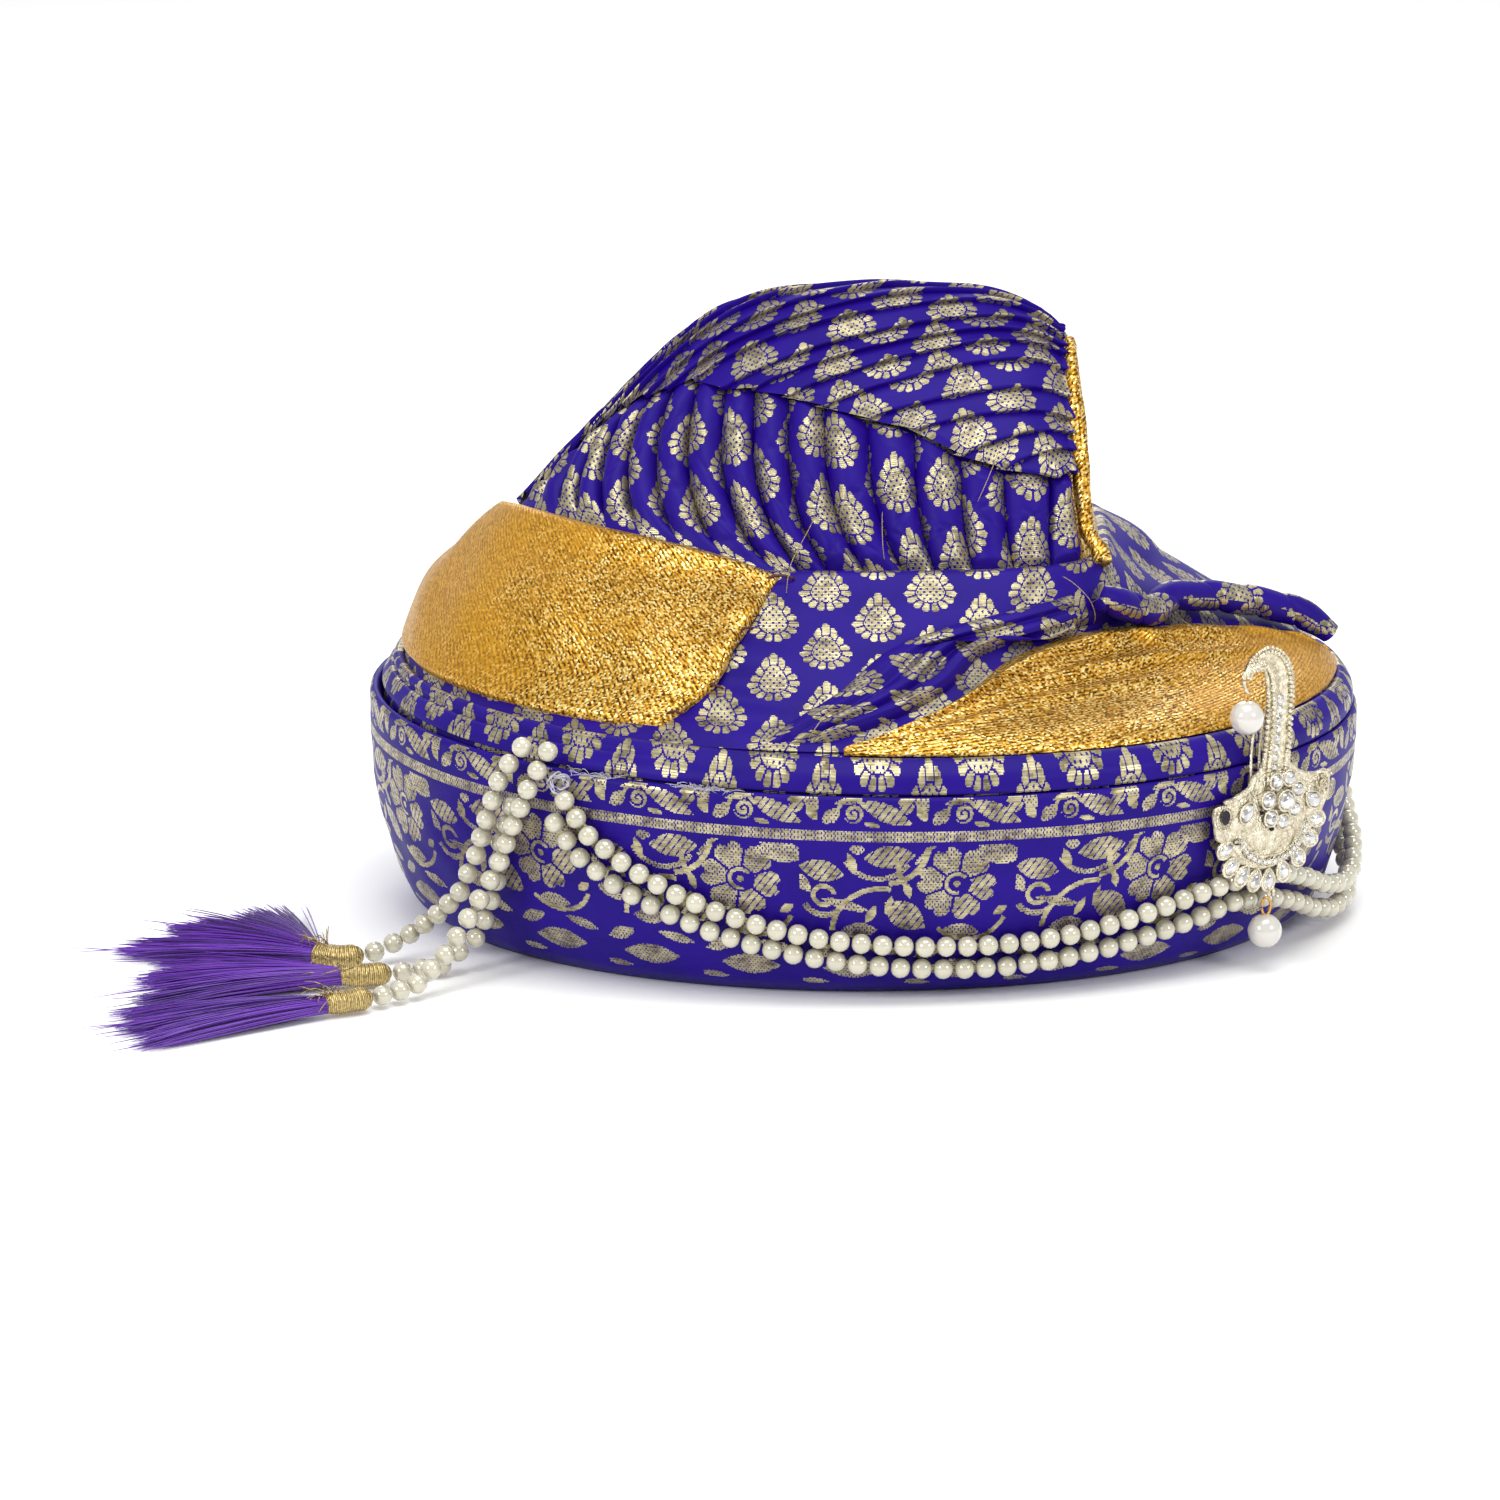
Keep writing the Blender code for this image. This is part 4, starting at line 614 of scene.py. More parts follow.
# Front panel, one layer, its top edge rolled in over the pleats' feet, with slack tension folds
angles = linspace(-121, -34, 150)
t = linspace(0, 1, 70)[:, None]
PANEL_FOOT_LEVEL, PANEL_ROLL_START = 1.9, 0.955
levels = part_way(PANEL_FOOT_LEVEL, CREST_LEVEL + 0.10, t)
roll = clip((t - PANEL_ROLL_START) / 0.045, 0, 1)
lift = 0.0006 + 0.0012 * clip((t - 0.72) / 0.22, 0, 1) ** 2 - 0.0042 * roll ** 2
slack = exp(-((angles + 106) / 12) ** 2) + 0.45 * exp(-((angles + 45) / 9) ** 2)
lift = lift + 0.0007 * slack * sin(2 * pi * (t * 3.6 + (angles + 110) / 80)) * sin(pi * t)
panel_points = crown_point(angles, levels, lift)
cloth = crown_cloth(angles, levels) - BUTA_PHASE
panel = make("front_panel", [grid(panel_points, cloth)], body_cloth, "brocade")
declare_sheet(panel, "stretched", "crown_cloth", panel_points)

# The strip of the same cloth between the band's top edge and what lies on the crown, with the line
# of a second fold on the left.
LAY_GAP, RIM_FOLD_HEIGHT, RIM_FOLD_THICKNESS = 0.0007, 0.0085, 0.0020
STRIP_PHASE = 32.9
angles = linspace(-270, 90, 361)
t = linspace(0, 1, 22)[:, None]
low, high = rim_level(angles, CLEARANCE), rim_level(angles, RIM_FOLD_HEIGHT)
levels = part_way(low, high, t)
fold = exp(-((t - 0.55) / 0.07) ** 2) * clip((-angles - 112) / 15, 0, 1) * clip((angles + 262) / 20, 0, 1)
section = interp(t, (0, 0.1, 0.5, 0.85, 0.96, 1), (0.8, 1.0, 1.1, 0.95, 0.6, -0.1))
lift = LAY_GAP + RIM_FOLD_THICKNESS * (section
                                       - 0.75 * fold + 0.05 * sin(radians(angles * 9)))
fold_points = crown_point(angles, levels, lift)
cloth = stack([np.broadcast_to(rim_run(angles) - STRIP_PHASE, levels.shape), 8.5 * (1 - t) + 0 * angles], -1)
strip = make("rim_fold_cloth", [grid(fold_points, cloth)], body_cloth, "brocade", "rim_fold")
declare_sheet(strip, "folded", ["crown_cloth", "padded_band"], fold_points)

# The crest's near side: seventeen rolled pleats, laid upright beside each other, their feet under
# the gold strap and the front panel. The cloth runs round each roll, so the buta bends with it.
PLEAT_CREST, PLEAT_DEPTH = 0.0012, 0.0050
# A row for each edge between two rolls: top angle, top level, foot angle
PLEAT_EDGES = np.array([
    (-36.8, 8.80, -37.4), (-44.0, 8.80, -46.5), (-55.0, 8.88, -53.5), (-63.5, 9.12, -60.0),
    (-74.0, 9.50, -66.0), (-85.5, 9.68, -71.0), (-97.5, 9.88, -77.5), (-108.0, 10.05, -84.0),
    (-118.5, 10.15, -89.0), (-128.0, 10.15, -94.0), (-140.0, 10.30, -101.0), (-148.5, 10.10, -107.5),
    (-156.5, 9.95, -115.0), (-165.0, 9.75, -122.0), (-170.0, 9.50, -131.0), (-173.5, 9.20, -139.0),
    (-176.5, 8.50, -147.0), (-179.5, 8.00, -156.0),
])
# The gold strap's stations: lower angle, lower level, upper angle, upper level
GOLD_BAND_STATIONS = np.array([
    (-115.5, 2.40, -92.5, 6.85), (-122.0, 2.40, -101.0, 7.22), (-130.0, 2.42, -113.0, 7.52),
    (-139.0, 2.50, -126.0, 7.70), (-149.0, 2.55, -140.0, 7.80), (-160.0, 2.60, -154.0, 7.85),
    (-172.0, 2.75, -169.0, 7.80), (-184.0, 2.90, -183.0, 7.60), (-196.0, 3.00, -196.0, 7.15),
    (-208.0, 3.00, -208.0, 6.70), (-221.0, 3.00, -221.0, 6.20), (-234.0, 3.00, -234.0, 5.60),
    (-246.0, 3.00, -246.0, 4.90),
])


def tucked(lift, angle, level):
    """Lift of a pleat, pressed down where the gold strap lies over its foot."""
    table = GOLD_BAND_STATIONS[::-1]
    strap = interp(angle, table[:, 2], table[:, 3], left=0, right=0)
    under = clip((level - strap - 0.12) / 0.35, 0, 1)
    return -0.0007 + (lift + 0.0007) * under


rolls = []
seed = np.random.default_rng(7)
for k in range(len(PLEAT_EDGES) - 1):
    x = linspace(0, 1, 18)[None, :]
    t = linspace(0, 1.04, 60)[:, None]
    sway = 0.10 * sin(2 * pi * (t * 0.8 + seed.random())) * sin(pi * clip(t, 0, 1))
    bent = x + sway * x * (1 - x) * 2
    top_angle, top_level, foot_angle = (part_way(*PLEAT_EDGES[k:k + 2, c], bent) for c in range(3))
    angle = part_way(foot_angle, top_angle, t)
    level = part_way(CREST_LEVEL + 0.02, top_level, t)
    swell = interp(t, (0, 0.12, 0.5, 0.92, 1.04), (0.30, 0.92, 1.0, 0.92, 0.5))
    arch = sin(pi * (0.02 + 0.96 * x) ** (0.9 + 0.2 * seed.random())) ** 0.48
    lift = (PLEAT_CREST + PLEAT_DEPTH) * swell * arch - PLEAT_DEPTH
    # Short creases slant across the rolls where the cloth was pulled round
    for crease in range(3):
        at, slope, width = seed.uniform(0.15, 0.9), seed.uniform(-0.35, 0.35), seed.uniform(0.012, 0.024)
        lift = lift - 0.0007 * arch * exp(-((t - at - slope * (x - 0.5)) / width) ** 2) * clip(
            sin(pi * (x * 1.2 - seed.uniform(-0.1, 0.3))), 0, 1)
    points = crown_point(angle, level, tucked(lift, angle, level))
    places = straight_cloth(points, 9) + (seed.uniform(-9, 9), seed.uniform(0, 25))
    rolls.append((points[:, ::-1], places[:, ::-1]))
side_pleats = make("side_pleat_cloth", [grid(*roll) for roll in rolls], body_cloth, "brocade", "side_pleats")
declare_sheet(side_pleats, "folded", "crown_cloth", *[roll[0] for roll in rolls])

# Over the crest: folded pleats that start at the rolls' tops and run to the mouth, each fold lying
# over the next one below, with its edge rounded and a narrow shadow under it.
CREST_EDGES = np.array([
    (8.76, -44.0, 0.186), (9.00, -55.0, 0.230), (9.24, -63.5, 0.262), (9.62, -74.0, 0.292),
    (9.80, -85.5, 0.335), (10.00, -97.5, 0.390), (10.17, -108.0, 0.423), (10.27, -118.5, 0.442),
    (10.27, -128.0, 0.465), (10.42, -140.0, 0.490), (10.22, -148.5, 0.515), (10.07, -156.5, 0.542),
    (9.87, -165.0, 0.570), (9.62, -170.0, 0.600), (9.32, -173.5, 0.632), (8.92, -177.0, 0.668),
    (8.52, -180.5, 0.706), (8.12, -184.5, 0.750), (7.82, -191.0, 0.805), (7.55, -200.0, 0.865),
    (7.30, -213.0, 0.930), (7.10, -228.0, 0.990),
])
MOUTH_EDGE = np.array([
    (0.00, 0.452), (0.16, 0.417), (0.35, 0.410), (0.50, 0.396), (0.65, 0.410), (0.84, 0.436), (1.00, 0.452),
])


def crest_slice(x, count=161):
    """The crest cut at one distance right of the middle: even steps from near foot to far foot."""
    levels = linspace(CREST_LEVEL, TOP_LEVEL - 0.001, 260)
    height, centre_x, half_x, centre_y, half_y, power_near, power_far, _ = crown_section(levels)
    c = (x - centre_x) / half_x
    inside = np.abs(c) < 1
    c, height, centre_y, half_y = c[inside], height[inside], centre_y[inside], half_y[inside]
    near, far = (centre_y + side * half_y * (1 - np.abs(c) ** power) ** (1 / power) for side, power in (
        (-1, np.where(c > 0, power_near[inside], 2.0)), (1, np.where(c > 0, power_far[inside], 2.0))))
    y, z = concatenate([near, far[::-1]]), concatenate([height, height[::-1]])
    run = run_along(stack([y, z], -1))
    at = linspace(0, run[-1], count)
    return stack([np.full(count, x), interp(at, run, y), interp(at, run, z)], -1)


crest_x = linspace(-0.770 * CROWN_HALF_LENGTH, 0.452 * CROWN_HALF_LENGTH, 200)
crest_table = stack([crest_slice(x) for x in crest_x])
along, over = np.gradient(crest_table, axis=0), np.gradient(crest_table, axis=1)
crest_normal = unit(np.cross(along, over))


def crest_point(x, share, lift):
    """Point of the crest at a distance right and a share of the way over, moved along the form's
    normal by the lift."""
    i = clip((x - crest_x[0]) / (crest_x[1] - crest_x[0]), 0, len(crest_x) - 1.001)
    j = clip(share, 0, 1) * 159.999
    return MIDDLE + read_table(crest_table, i, j) + unit(read_table(crest_normal, i, j)) * lift[..., None]


def crest_share(x, height, far):
    """Share of the way over the crest where its near or far side reaches a height."""
    curve = crest_slice(x)
    top = int(np.argmax(curve[:, 2]))
    if far:
        return float(interp(-height, -curve[top:, 2], linspace(top / 160, 1, 161 - top)))
    return float(interp(height, curve[:top + 1, 2], linspace(0, top / 160, top + 1)))


starts = []
for level, angle, share in CREST_EDGES:
    point = crown_bare(angle, level) - MIDDLE
    here = crest_share(point[0], point[2], angle < -180.5)
    mouth_x = CROWN_HALF_LENGTH * interp(share, MOUTH_EDGE[:, 0], MOUTH_EDGE[:, 1])
    starts.append((point[0], here, mouth_x, share))
starts.append(starts[-1])
starts = np.array(starts)
starts[-1, 1] = starts[-1, 3] = 1.0
folds = []
for k in range(len(starts) - 1):
    u = concatenate([linspace(-0.02, 1, 90), np.ones(9)])[None, :]
    curl = concatenate([np.zeros(90), linspace(0.2, 2.2, 9)])
    w = concatenate([[-0.02, -0.035, -0.03], linspace(0, 1.18, 15)])[:, None]
    x_low, s_low, end_x_low, end_s_low = starts[k]
    x_high, s_high, end_x_high, end_s_high = starts[k + 1]
    at_x = part_way(part_way(x_low, x_high, w), part_way(end_x_low, end_x_high, w), u)
    ease = clip(u, 0, 1) ** 0.85
    at_share = part_way(part_way(s_low, end_s_low, ease), part_way(s_high, end_s_high, ease), w)
    # The turned edge rises from under the fold, then the layer falls away below the next one
    edge = concatenate([[-0.0016, -0.0004, 0.0006], 0.0011 - 0.0021 * w[3:, 0] ** 0.85])[:, None]
    ripple = 0.00022 * sin(2 * pi * (u * seed.uniform(1.5, 3.5) + seed.random())) * (1 - clip(w, 0, 1))
    lift = edge + ripple - 0.0008 * clip((0.05 - u) / 0.07, 0, 1) - 0.0030 * (1 - cos(curl))
    points = crest_point(at_x, at_share, lift + 0 * at_share)
    points[..., 0] += 0.0034 * sin(curl)
    # Every other fold takes its cloth half a repeat further on
    places = straight_cloth(points, 89) + (5.0 + 15.5 * (k % 2) + seed.uniform(-6, 6), seed.uniform(2, 12))
    folds.append((points, places))
crest_pleats = make("crest_pleat_cloth", [grid(*fold) for fold in folds], body_cloth, "brocade",
                    "crest_pleats")
declare_sheet(crest_pleats, "folded", "crown_cloth", *[fold[0].swapaxes(0, 1) for fold in folds])

# The mouth of the crest, its gold edge, the strap round the left and the dome in front are gold
# lame: flat metal strip woven with a brown thread. Each is tucked under the brocade and held with a
# few hand stitches in maroon thread.
CREST_GAP, GUSSET_THICKNESS, MOUTH_ROLL_RADIUS = 0.0018, 0.0014, 0.0026
GOLD_BAND_THICKNESS, GOLD_BAND_BRIDGE = 0.0020, 0.0016
MOUTH_ROLL_ROUTE = np.array([
    (6.75, -37.0), (7.2, -36.2), (8.0, -35.2), (9.0, -34.6), (10.0, -33.0), (10.7, -25.0), (11.0, -12.0),
])


def lame(name, turn, glitter_end, matt_start):
    """Gold lame: cells of one float each, 0.75 by 0.5 mm, coarser than the real 0.3 so that they
    show, each given painted light at random from brown through ochre to a painted flash of highlight.
    The weave lies at the given turn, and the painted glitter, with a higher metallic, dies down to matt
    ochre with thread lines between two distances along the cloth."""
    mat, add = finish(name)
    cloth = add("UVMap", uv_map="cloth")
    turned = add("Mapping", cloth, (0, 0, 0), (0, 0, radians(turn)))
    x, y = add("SeparateXYZ", turned, out=(0, 1))
    row = add("FLOOR", add("DIVIDE", y, 0.50))
    column = add("FLOOR", add("MULTIPLY_ADD", row, 0.5, add("DIVIDE", x, 0.75)))
    cell = add("TexWhiteNoise", add("CombineXYZ", column, row, 0.0), noise_dimensions="2D")
    line = add("MULTIPLY", add("PINGPONG", add("DIVIDE", y, 1.3), 0.5), 2.0)
    patch = add("TexNoise", cloth, 0.04, 2.0, noise_dimensions="2D")
    reach = glitter_end - matt_start
    shine = add("MULTIPLY_ADD", add("SeparateXYZ", cloth), 1 / reach,
                add("MULTIPLY_ADD", patch, 1.5, -matt_start / reach - 0.75))
    shine = add("MINIMUM", add("MAXIMUM", shine, 0.14), 1.0)
    raw = add("MULTIPLY_ADD", cell, 0.75, add("MULTIPLY_ADD", line, 0.40, -0.57))
    tone = add("MULTIPLY_ADD", raw, add("MULTIPLY_ADD", shine, 1.25, 0.42), 0.60, use_clamp=True)
    body = add("Mix", tone, "4E2A05", "E6A824", data_type="RGBA")
    # A painted flash of highlight on the brightest cells where the glitter is
    flash = add("POWER", cell, add("MULTIPLY_ADD", shine, -8.0, 13.0))
    height = add("MULTIPLY_ADD", line, 0.6, add("MULTIPLY", cell, shine))
    dress(mat, base_color=add("Mix", add("MULTIPLY", flash, shine), body, "FFF4B0", data_type="RGBA"),
          metallic=add("MULTIPLY_ADD", shine, 0.30, 0.55), roughness=add("MULTIPLY_ADD", cell, -0.14, 0.44),
          normal=add("Bump", 1.0, 0.00016, None, height))
    return mat


# Strap: painted glitter by its cut end and matt ochre with slanting thread lines further on. Dome: the
# same lame laid square, with painted glitter on the left.
strap_lame = lame("gold lame on the bias", 38, 45.0, 95.0)
dome_lame = lame("gold lame, square", 8, 105.0, 175.0)

angles = linspace(-43, 40, 84)
levels = linspace(CREST_LEVEL + 0.06, 11.2, 70)[:, None]
inset = CREST_GAP - CREST_RECESS + GUSSET_THICKNESS
gather = 0.0006 * sin(radians(angles * 14)) * sin(pi * (levels - 7) / 4.4)
gusset_points = crown_point(angles, levels, inset + gather)
gusset = make("mouth_gusset_cloth", [grid(gusset_points, straight_cloth(gusset_points, 43))], dome_lame,
              "gold_lame", "mouth_gusset")
declare_sheet(gusset, "gathered", "crown_cloth", gusset_points)


def sweep(route, radii, sides):
    """A tube: rings of the given radii round a route, each in the plane across it, times cosine and
    sine of the turn. Cloth places run round and along in mm."""
    ahead = unit(np.gradient(route, axis=0))
    side = unit(np.cross(ahead, (0, 0, 1.0)))
    up = np.cross(side, ahead)
    turn = linspace(0, 2 * pi, sides + 1)
    radii = np.asarray(radii, float)
    radii = np.broadcast_to(radii if radii.ndim == 2 else radii.reshape(-1, 1), (len(route), sides + 1))
    rings = route[:, None] + radii[..., None] * (cos(turn)[None, :, None] * side[:, None]
                                                 + sin(turn)[None, :, None] * up[:, None])
    first, last = (np.broadcast_to(route[k], rings[:1].shape) for k in (0, -1))
    rings = concatenate([first, rings, last])
    along = run_along(route) * 1000
    along = concatenate([along[:1], along, along[-1:]])
    around = np.broadcast_to(turn / (2 * pi) * 2000 * pi * float(np.mean(radii)), rings.shape[:2])
    places = stack([around, np.broadcast_to(along[:, None], rings.shape[:2])], -1)
    return grid(rings, places, flip=True)


def even_route(points, spacing):
    """Even steps along a Catmull-Rom curve through chosen points: cubic blends of four neighbours."""
    points = np.asarray(points, float)
    ends = np.vstack([2 * points[0] - points[1], points, 2 * points[-1] - points[-2]])
    t = linspace(0, 1, 24, endpoint=False)[None, :, None]
    a, b, c, d = (ends[k:len(ends) - 3 + k][:, None] for k in range(4))
    fine = 0.5 * (2 * b + (c - a) * t + (2 * a - 5 * b + 4 * c - d) * t**2 + (3 * b - a - 3 * c + d) * t**3)
    fine = concatenate([fine.reshape(-1, 3), points[-1:]])
    run = run_along(fine)
    at = linspace(0, run[-1], max(3, int(round(run[-1] / spacing)) + 1))
    return stack([interp(at, run, fine[:, k]) for k in range(3)], -1)


# The rolled gold edge up the mouth: one thick fold of lame, creased slantwise
rows = cubic_rows(MOUTH_ROLL_ROUTE, linspace(0, len(MOUTH_ROLL_ROUTE) - 1, 90))
lift = MOUTH_ROLL_RADIUS + np.where(rows[:, 0] < CREST_LEVEL + 0.3, LAY_GAP, inset + CLEARANCE)
lift = np.convolve(np.pad(lift, 5, mode="edge"), np.ones(11) / 11, mode="valid")
turn = linspace(0, 2 * pi, 25)
along = linspace(0, 1, 90)[:, None]
crease = 1 + 0.10 * sin(turn * 2 + along * 14) + 0.05 * sin(turn * 5 - along * 40)
radii = MOUTH_ROLL_RADIUS * crease * (1.0 - 0.25 * (along - 0.2) ** 2)
radii[:, -1] = radii[:, 0]
edge_roll = make("mouth_edge_roll", [sweep(crown_point(rows[:, 1], rows[:, 0], lift), radii, 24)], strap_lame,
                 "gold_lame", "mouth_roll")


def edged(t, width):
    """Zero at both ends of 0 to 1 and one between, over quarter circles of the given width."""
    near = clip(minimum(t, 1 - t) / width, 0, 1)
    return np.sqrt(1 - (1 - near) ** 2)


# The strap: one flat fold with rounded edges, drawn in by stitches along its cut end
s = linspace(0, 1, 220)[None, :]
t = linspace(0, 1, 44)[:, None]
rows = cubic_rows(GOLD_BAND_STATIONS, s * (len(GOLD_BAND_STATIONS) - 1))
angle, level = part_way(rows[..., 0], rows[..., 2], t), part_way(rows[..., 1], rows[..., 3], t)
pucker = 0.0006 * exp(-s / 0.022) * cos(t * 2 * pi * 5)
sag = 0.0005 * sin(pi * t) * sin(s * 19 + t * 3) + 0.00035 * sin(pi * t) * sin(s * 47 - t * 8)
lift = LAY_GAP + GOLD_BAND_BRIDGE * sin(pi * t) + pucker + sag
lift = lift + GOLD_BAND_THICKNESS * edged(t, 0.035) * edged(s, 0.006)
lift = lift - 0.0012 * (1 - edged(t, 0.02) * edged(s, 0.004))
strap_points = crown_point(angle, level, lift)
places = straight_cloth(strap_points)
strap = make("gold_strap", [grid(strap_points[:, ::-1], places[:, ::-1])], strap_lame, "gold_lame",
             "gold_band")
declare_sheet(strap, "stretched", ["crown_cloth", "side_pleat_cloth"], strap_points)

# The dome: smooth below, with folds gathered along its upper edge towards the left tip
DOME_THICKNESS = 0.0014
DOME_EDGE = np.array([
    (-93.0, 1.95), (-86.0, 2.55), (-77.5, 3.34), (-64.0, 4.40), (-48.5, 4.84), (-38.0, 4.90),
    (-30.0, 4.72), (-18.0, 4.38), (-9.0, 3.85), (-3.5, 3.20), (-0.5, 2.45), (1.0, 1.95),
])
s = linspace(0, 1, 220)[None, :]
t = linspace(0, 1, 60)[:, None]
edge = cubic_rows(DOME_EDGE, s * (len(DOME_EDGE) - 1))
low = rim_level(edge[..., 0], RIM_FOLD_HEIGHT) + 0.03
level = part_way(low, maximum(edge[..., 1], low + 0.10), t)
gathered = exp(-((s - 0.36) / 0.22) ** 2)
lift = LAY_GAP + DOME_THICKNESS * (0.35 + 0.65 * edged(t, 0.05) * edged(s, 0.015))
# Each fold: its rise, its place up the dome, how it slants, its width
for rise, at, slant, width in ((0.0034, 0.90, 0, 0.045), (-0.0006, 0.79, 0, 0.045),
                               (0.0026, 0.68, 0.3, 0.045), (0.0012, 0.46, 0.5, 0.06)):
    lift = lift + gathered * rise * exp(-((t - at + slant * (s - 0.36)) / width) ** 2)
lift = lift + 0.0004 * sin(s * 60 + t * 9) * exp(-((t - 0.9) / 0.15) ** 2)
dome_points = crown_point(edge[..., 0] + 0 * t, level, lift)
dome = make("gold_dome_cloth", [grid(dome_points, straight_cloth(dome_points))], dome_lame, "gold_lame",
            "gold_dome")
declare_sheet(dome, "stretched", "crown_cloth", dome_points)

# Folds of the front cloth, gathered at the crest's corner and fanning down to the rim: two broad
# folds with a shallow one between, each rounded, each with a shadow line below it
DRAPE_FOLD_DEPTH = 0.0044
DRAPE_FOLDS = np.array([
    (-94.5, 2.20, -103.0, 2.10), (-87.0, 2.85, -95.0, 3.50), (-78.5, 3.65, -86.0, 4.55),
    (-65.5, 4.70, -73.0, 5.45), (-52.5, 5.10, -58.5, 5.95), (-45.0, 5.28, -45.0, 6.25),
])
s = linspace(-0.02, 1.03, 160)[None, :]
t = linspace(0, 1, 90)[:, None]
along = cubic_rows(DRAPE_FOLDS, clip(s, 0, 1) * (len(DRAPE_FOLDS) - 1))
angle, level = part_way(along[..., 0], along[..., 2], t), part_way(along[..., 1], along[..., 3], t)
height = interp(t, (0, 0.03, 0.10, 0.22, 0.30, 0.34, 0.42, 0.52, 0.60, 0.64, 0.74, 0.86, 0.96, 1.0),
                   (-0.1, 0.45, 1.0, 0.9, 0.30, 0.22, 0.85, 0.75, 0.30, 0.22, 0.62, 0.42, 0.15, -0.15))
height = (height[np.r_[0, 0:89]] + height + height[np.r_[1:90, 89]]) / 3
wander = 0.05 * sin(s * 9 + 1) + 0.03 * sin(s * 23)
lift = LAY_GAP + DRAPE_FOLD_DEPTH * height * (0.75 + 0.25 * sin(pi * clip(s, 0, 1))) * (1 + wander)
lift = part_way(-0.0006, lift, clip((s + 0.02) / 0.05, 0, 1))
fold_points = crown_point(angle, level, lift)
places = straight_cloth(fold_points) + (-4.0, 3.0)
draped = make("front_drape_folds", [grid(fold_points, places)], body_cloth, "brocade", "drape_folds")
declare_sheet(draped, "gathered", ["crown_cloth", "front_panel"], fold_points)

# The far cloth's edge, rolled and bound round itself, above the dome
ROPE_RADIUS = 0.0046
ROPE_ROUTE = np.array([
    (-41.0, 5.95), (-35.0, 5.72), (-30.0, 5.48), (-20.0, 5.08), (-11.0, 4.72), (-3.0, 4.05),
    (1.0, 3.20), (3.0, 2.35),
])
rows = cubic_rows(ROPE_ROUTE, linspace(0, len(ROPE_ROUTE) - 1, 260))
centre_line = crown_point(rows[:, 0], rows[:, 1], np.full(260, LAY_GAP + ROPE_RADIUS * 1.05))
run = run_along(centre_line)[:, None]
turn = linspace(0, 2 * pi, 33)
wrap_at = np.mod(run / 0.017 + turn / (2 * pi) + 0.15 * sin(run / 0.011), 1.0)
taper = interp(run, (0, 0.008, run.max() - 0.01, run.max()), (0.80, 1.0, 1.0, 0.72))
radii = ROPE_RADIUS * (0.78 + 0.36 * (1 - (1 - wrap_at) ** 6) * (1 - 0.50 * wrap_at)) * taper
rope = sweep(centre_line, radii, 32)
# The cloth lies slantwise on the roll
rope = (rope[0], rope[1], rope[2] @ np.array([[0.92, 0.38], [-0.38, 0.92]]) + (6.0, 3.0))
rope_roll = make("rope_roll_cloth", [rope], body_cloth, "brocade", "rope_roll")

# Hand stitches in maroon thread where the lame is caught down
STITCH = 0.0004
stitch_thread, add = finish("maroon sewing thread", roughness=0.6)
fibre = add("TexNoise", add("UVMap", uv_map="cloth"), 3.0, 2.0, noise_dimensions="2D")
dress(stitch_thread, base_color=add("Mix", fibre, "2A0A12", "5C1A26", data_type="RGBA"))
stitches = []
low_angle, low_level, high_angle, high_level = GOLD_BAND_STATIONS[0]
# Each stitch: its share of the way up the strap's cut end, its reach in degrees and its slant
for share, reach, slant in ((0.97, 2.6, 0.1), (0.70, 1.2, 0.5), (0.35, 1.3, -0.3), (0.08, 1.1, 0.4)):
    t = linspace(-1, 1, 9)
    route = crown_point(part_way(low_angle, high_angle, share) + t * reach,
                        part_way(low_level, high_level, share) + t * slant * 0.12,
                        LAY_GAP + 0.0014 + 0.0016 * (1 - t**2))
    stitches.append(sweep(route, STITCH, 8))
make("strap_stitches", stitches, stitch_thread, "gold_thread")

# The pearl strings: round glass pearls with an ivory coat, touching on a doubled thread. Two hang
# in swags across the front, and three run down the left to the tassels.
PEARL_DIAMETER = 0.0062
# Chosen points: right and away as shares of the band's half sizes, up as a share of its seat
SWAG_UPPER_ROUTE = (
    (-0.599, -0.829, 1.040), (-0.573, -0.853, 0.915), (-0.501, -0.888, 0.742),
    (-0.333, -0.943, 0.516), (-0.097, -0.974, 0.354), (0.191, -0.957, 0.302),
    (0.421, -0.888, 0.336), (0.617, -0.783, 0.442), (0.747, -0.679, 0.503),
    (0.845, -0.533, 0.437), (0.911, -0.392, 0.295), (0.960, -0.267, 0.222),
    (0.993, -0.125, 0.246), (0.997, 0.025, 0.373), (0.967, 0.217, 0.572),
    (0.907, 0.417, 0.780),
)
SWAG_LOWER_ROUTE = (
    (-0.621, -0.817, 0.915), (-0.578, -0.841, 0.749), (-0.494, -0.878, 0.575),
    (-0.273, -0.939, 0.340), (-0.038, -0.965, 0.218), (0.195, -0.938, 0.173),
    (0.405, -0.875, 0.205), (0.618, -0.758, 0.303), (0.727, -0.667, 0.367),
    (0.820, -0.546, 0.315), (0.880, -0.425, 0.194), (0.933, -0.317, 0.111),
    (0.977, -0.175, 0.107), (0.985, -0.017, 0.194), (0.963, 0.192, 0.390),
    (0.907, 0.375, 0.589),
)
STRING_FRONT_ROUTE = (
    (-0.612, -0.826, 1.296), (-0.643, -0.829, 1.158), (-0.677, -0.821, 0.953),
    (-0.706, -0.781, 0.742), (-0.723, -0.767, 0.607), (-0.748, -0.775, 0.463),
    (-0.773, -0.792, 0.383), (-0.793, -0.813, 0.298), (-0.813, -0.833, 0.229),
    (-0.837, -0.862, 0.153), (-0.867, -0.900, 0.090), (-0.900, -0.942, 0.059),
    (-0.960, -1.000, 0.059),
)
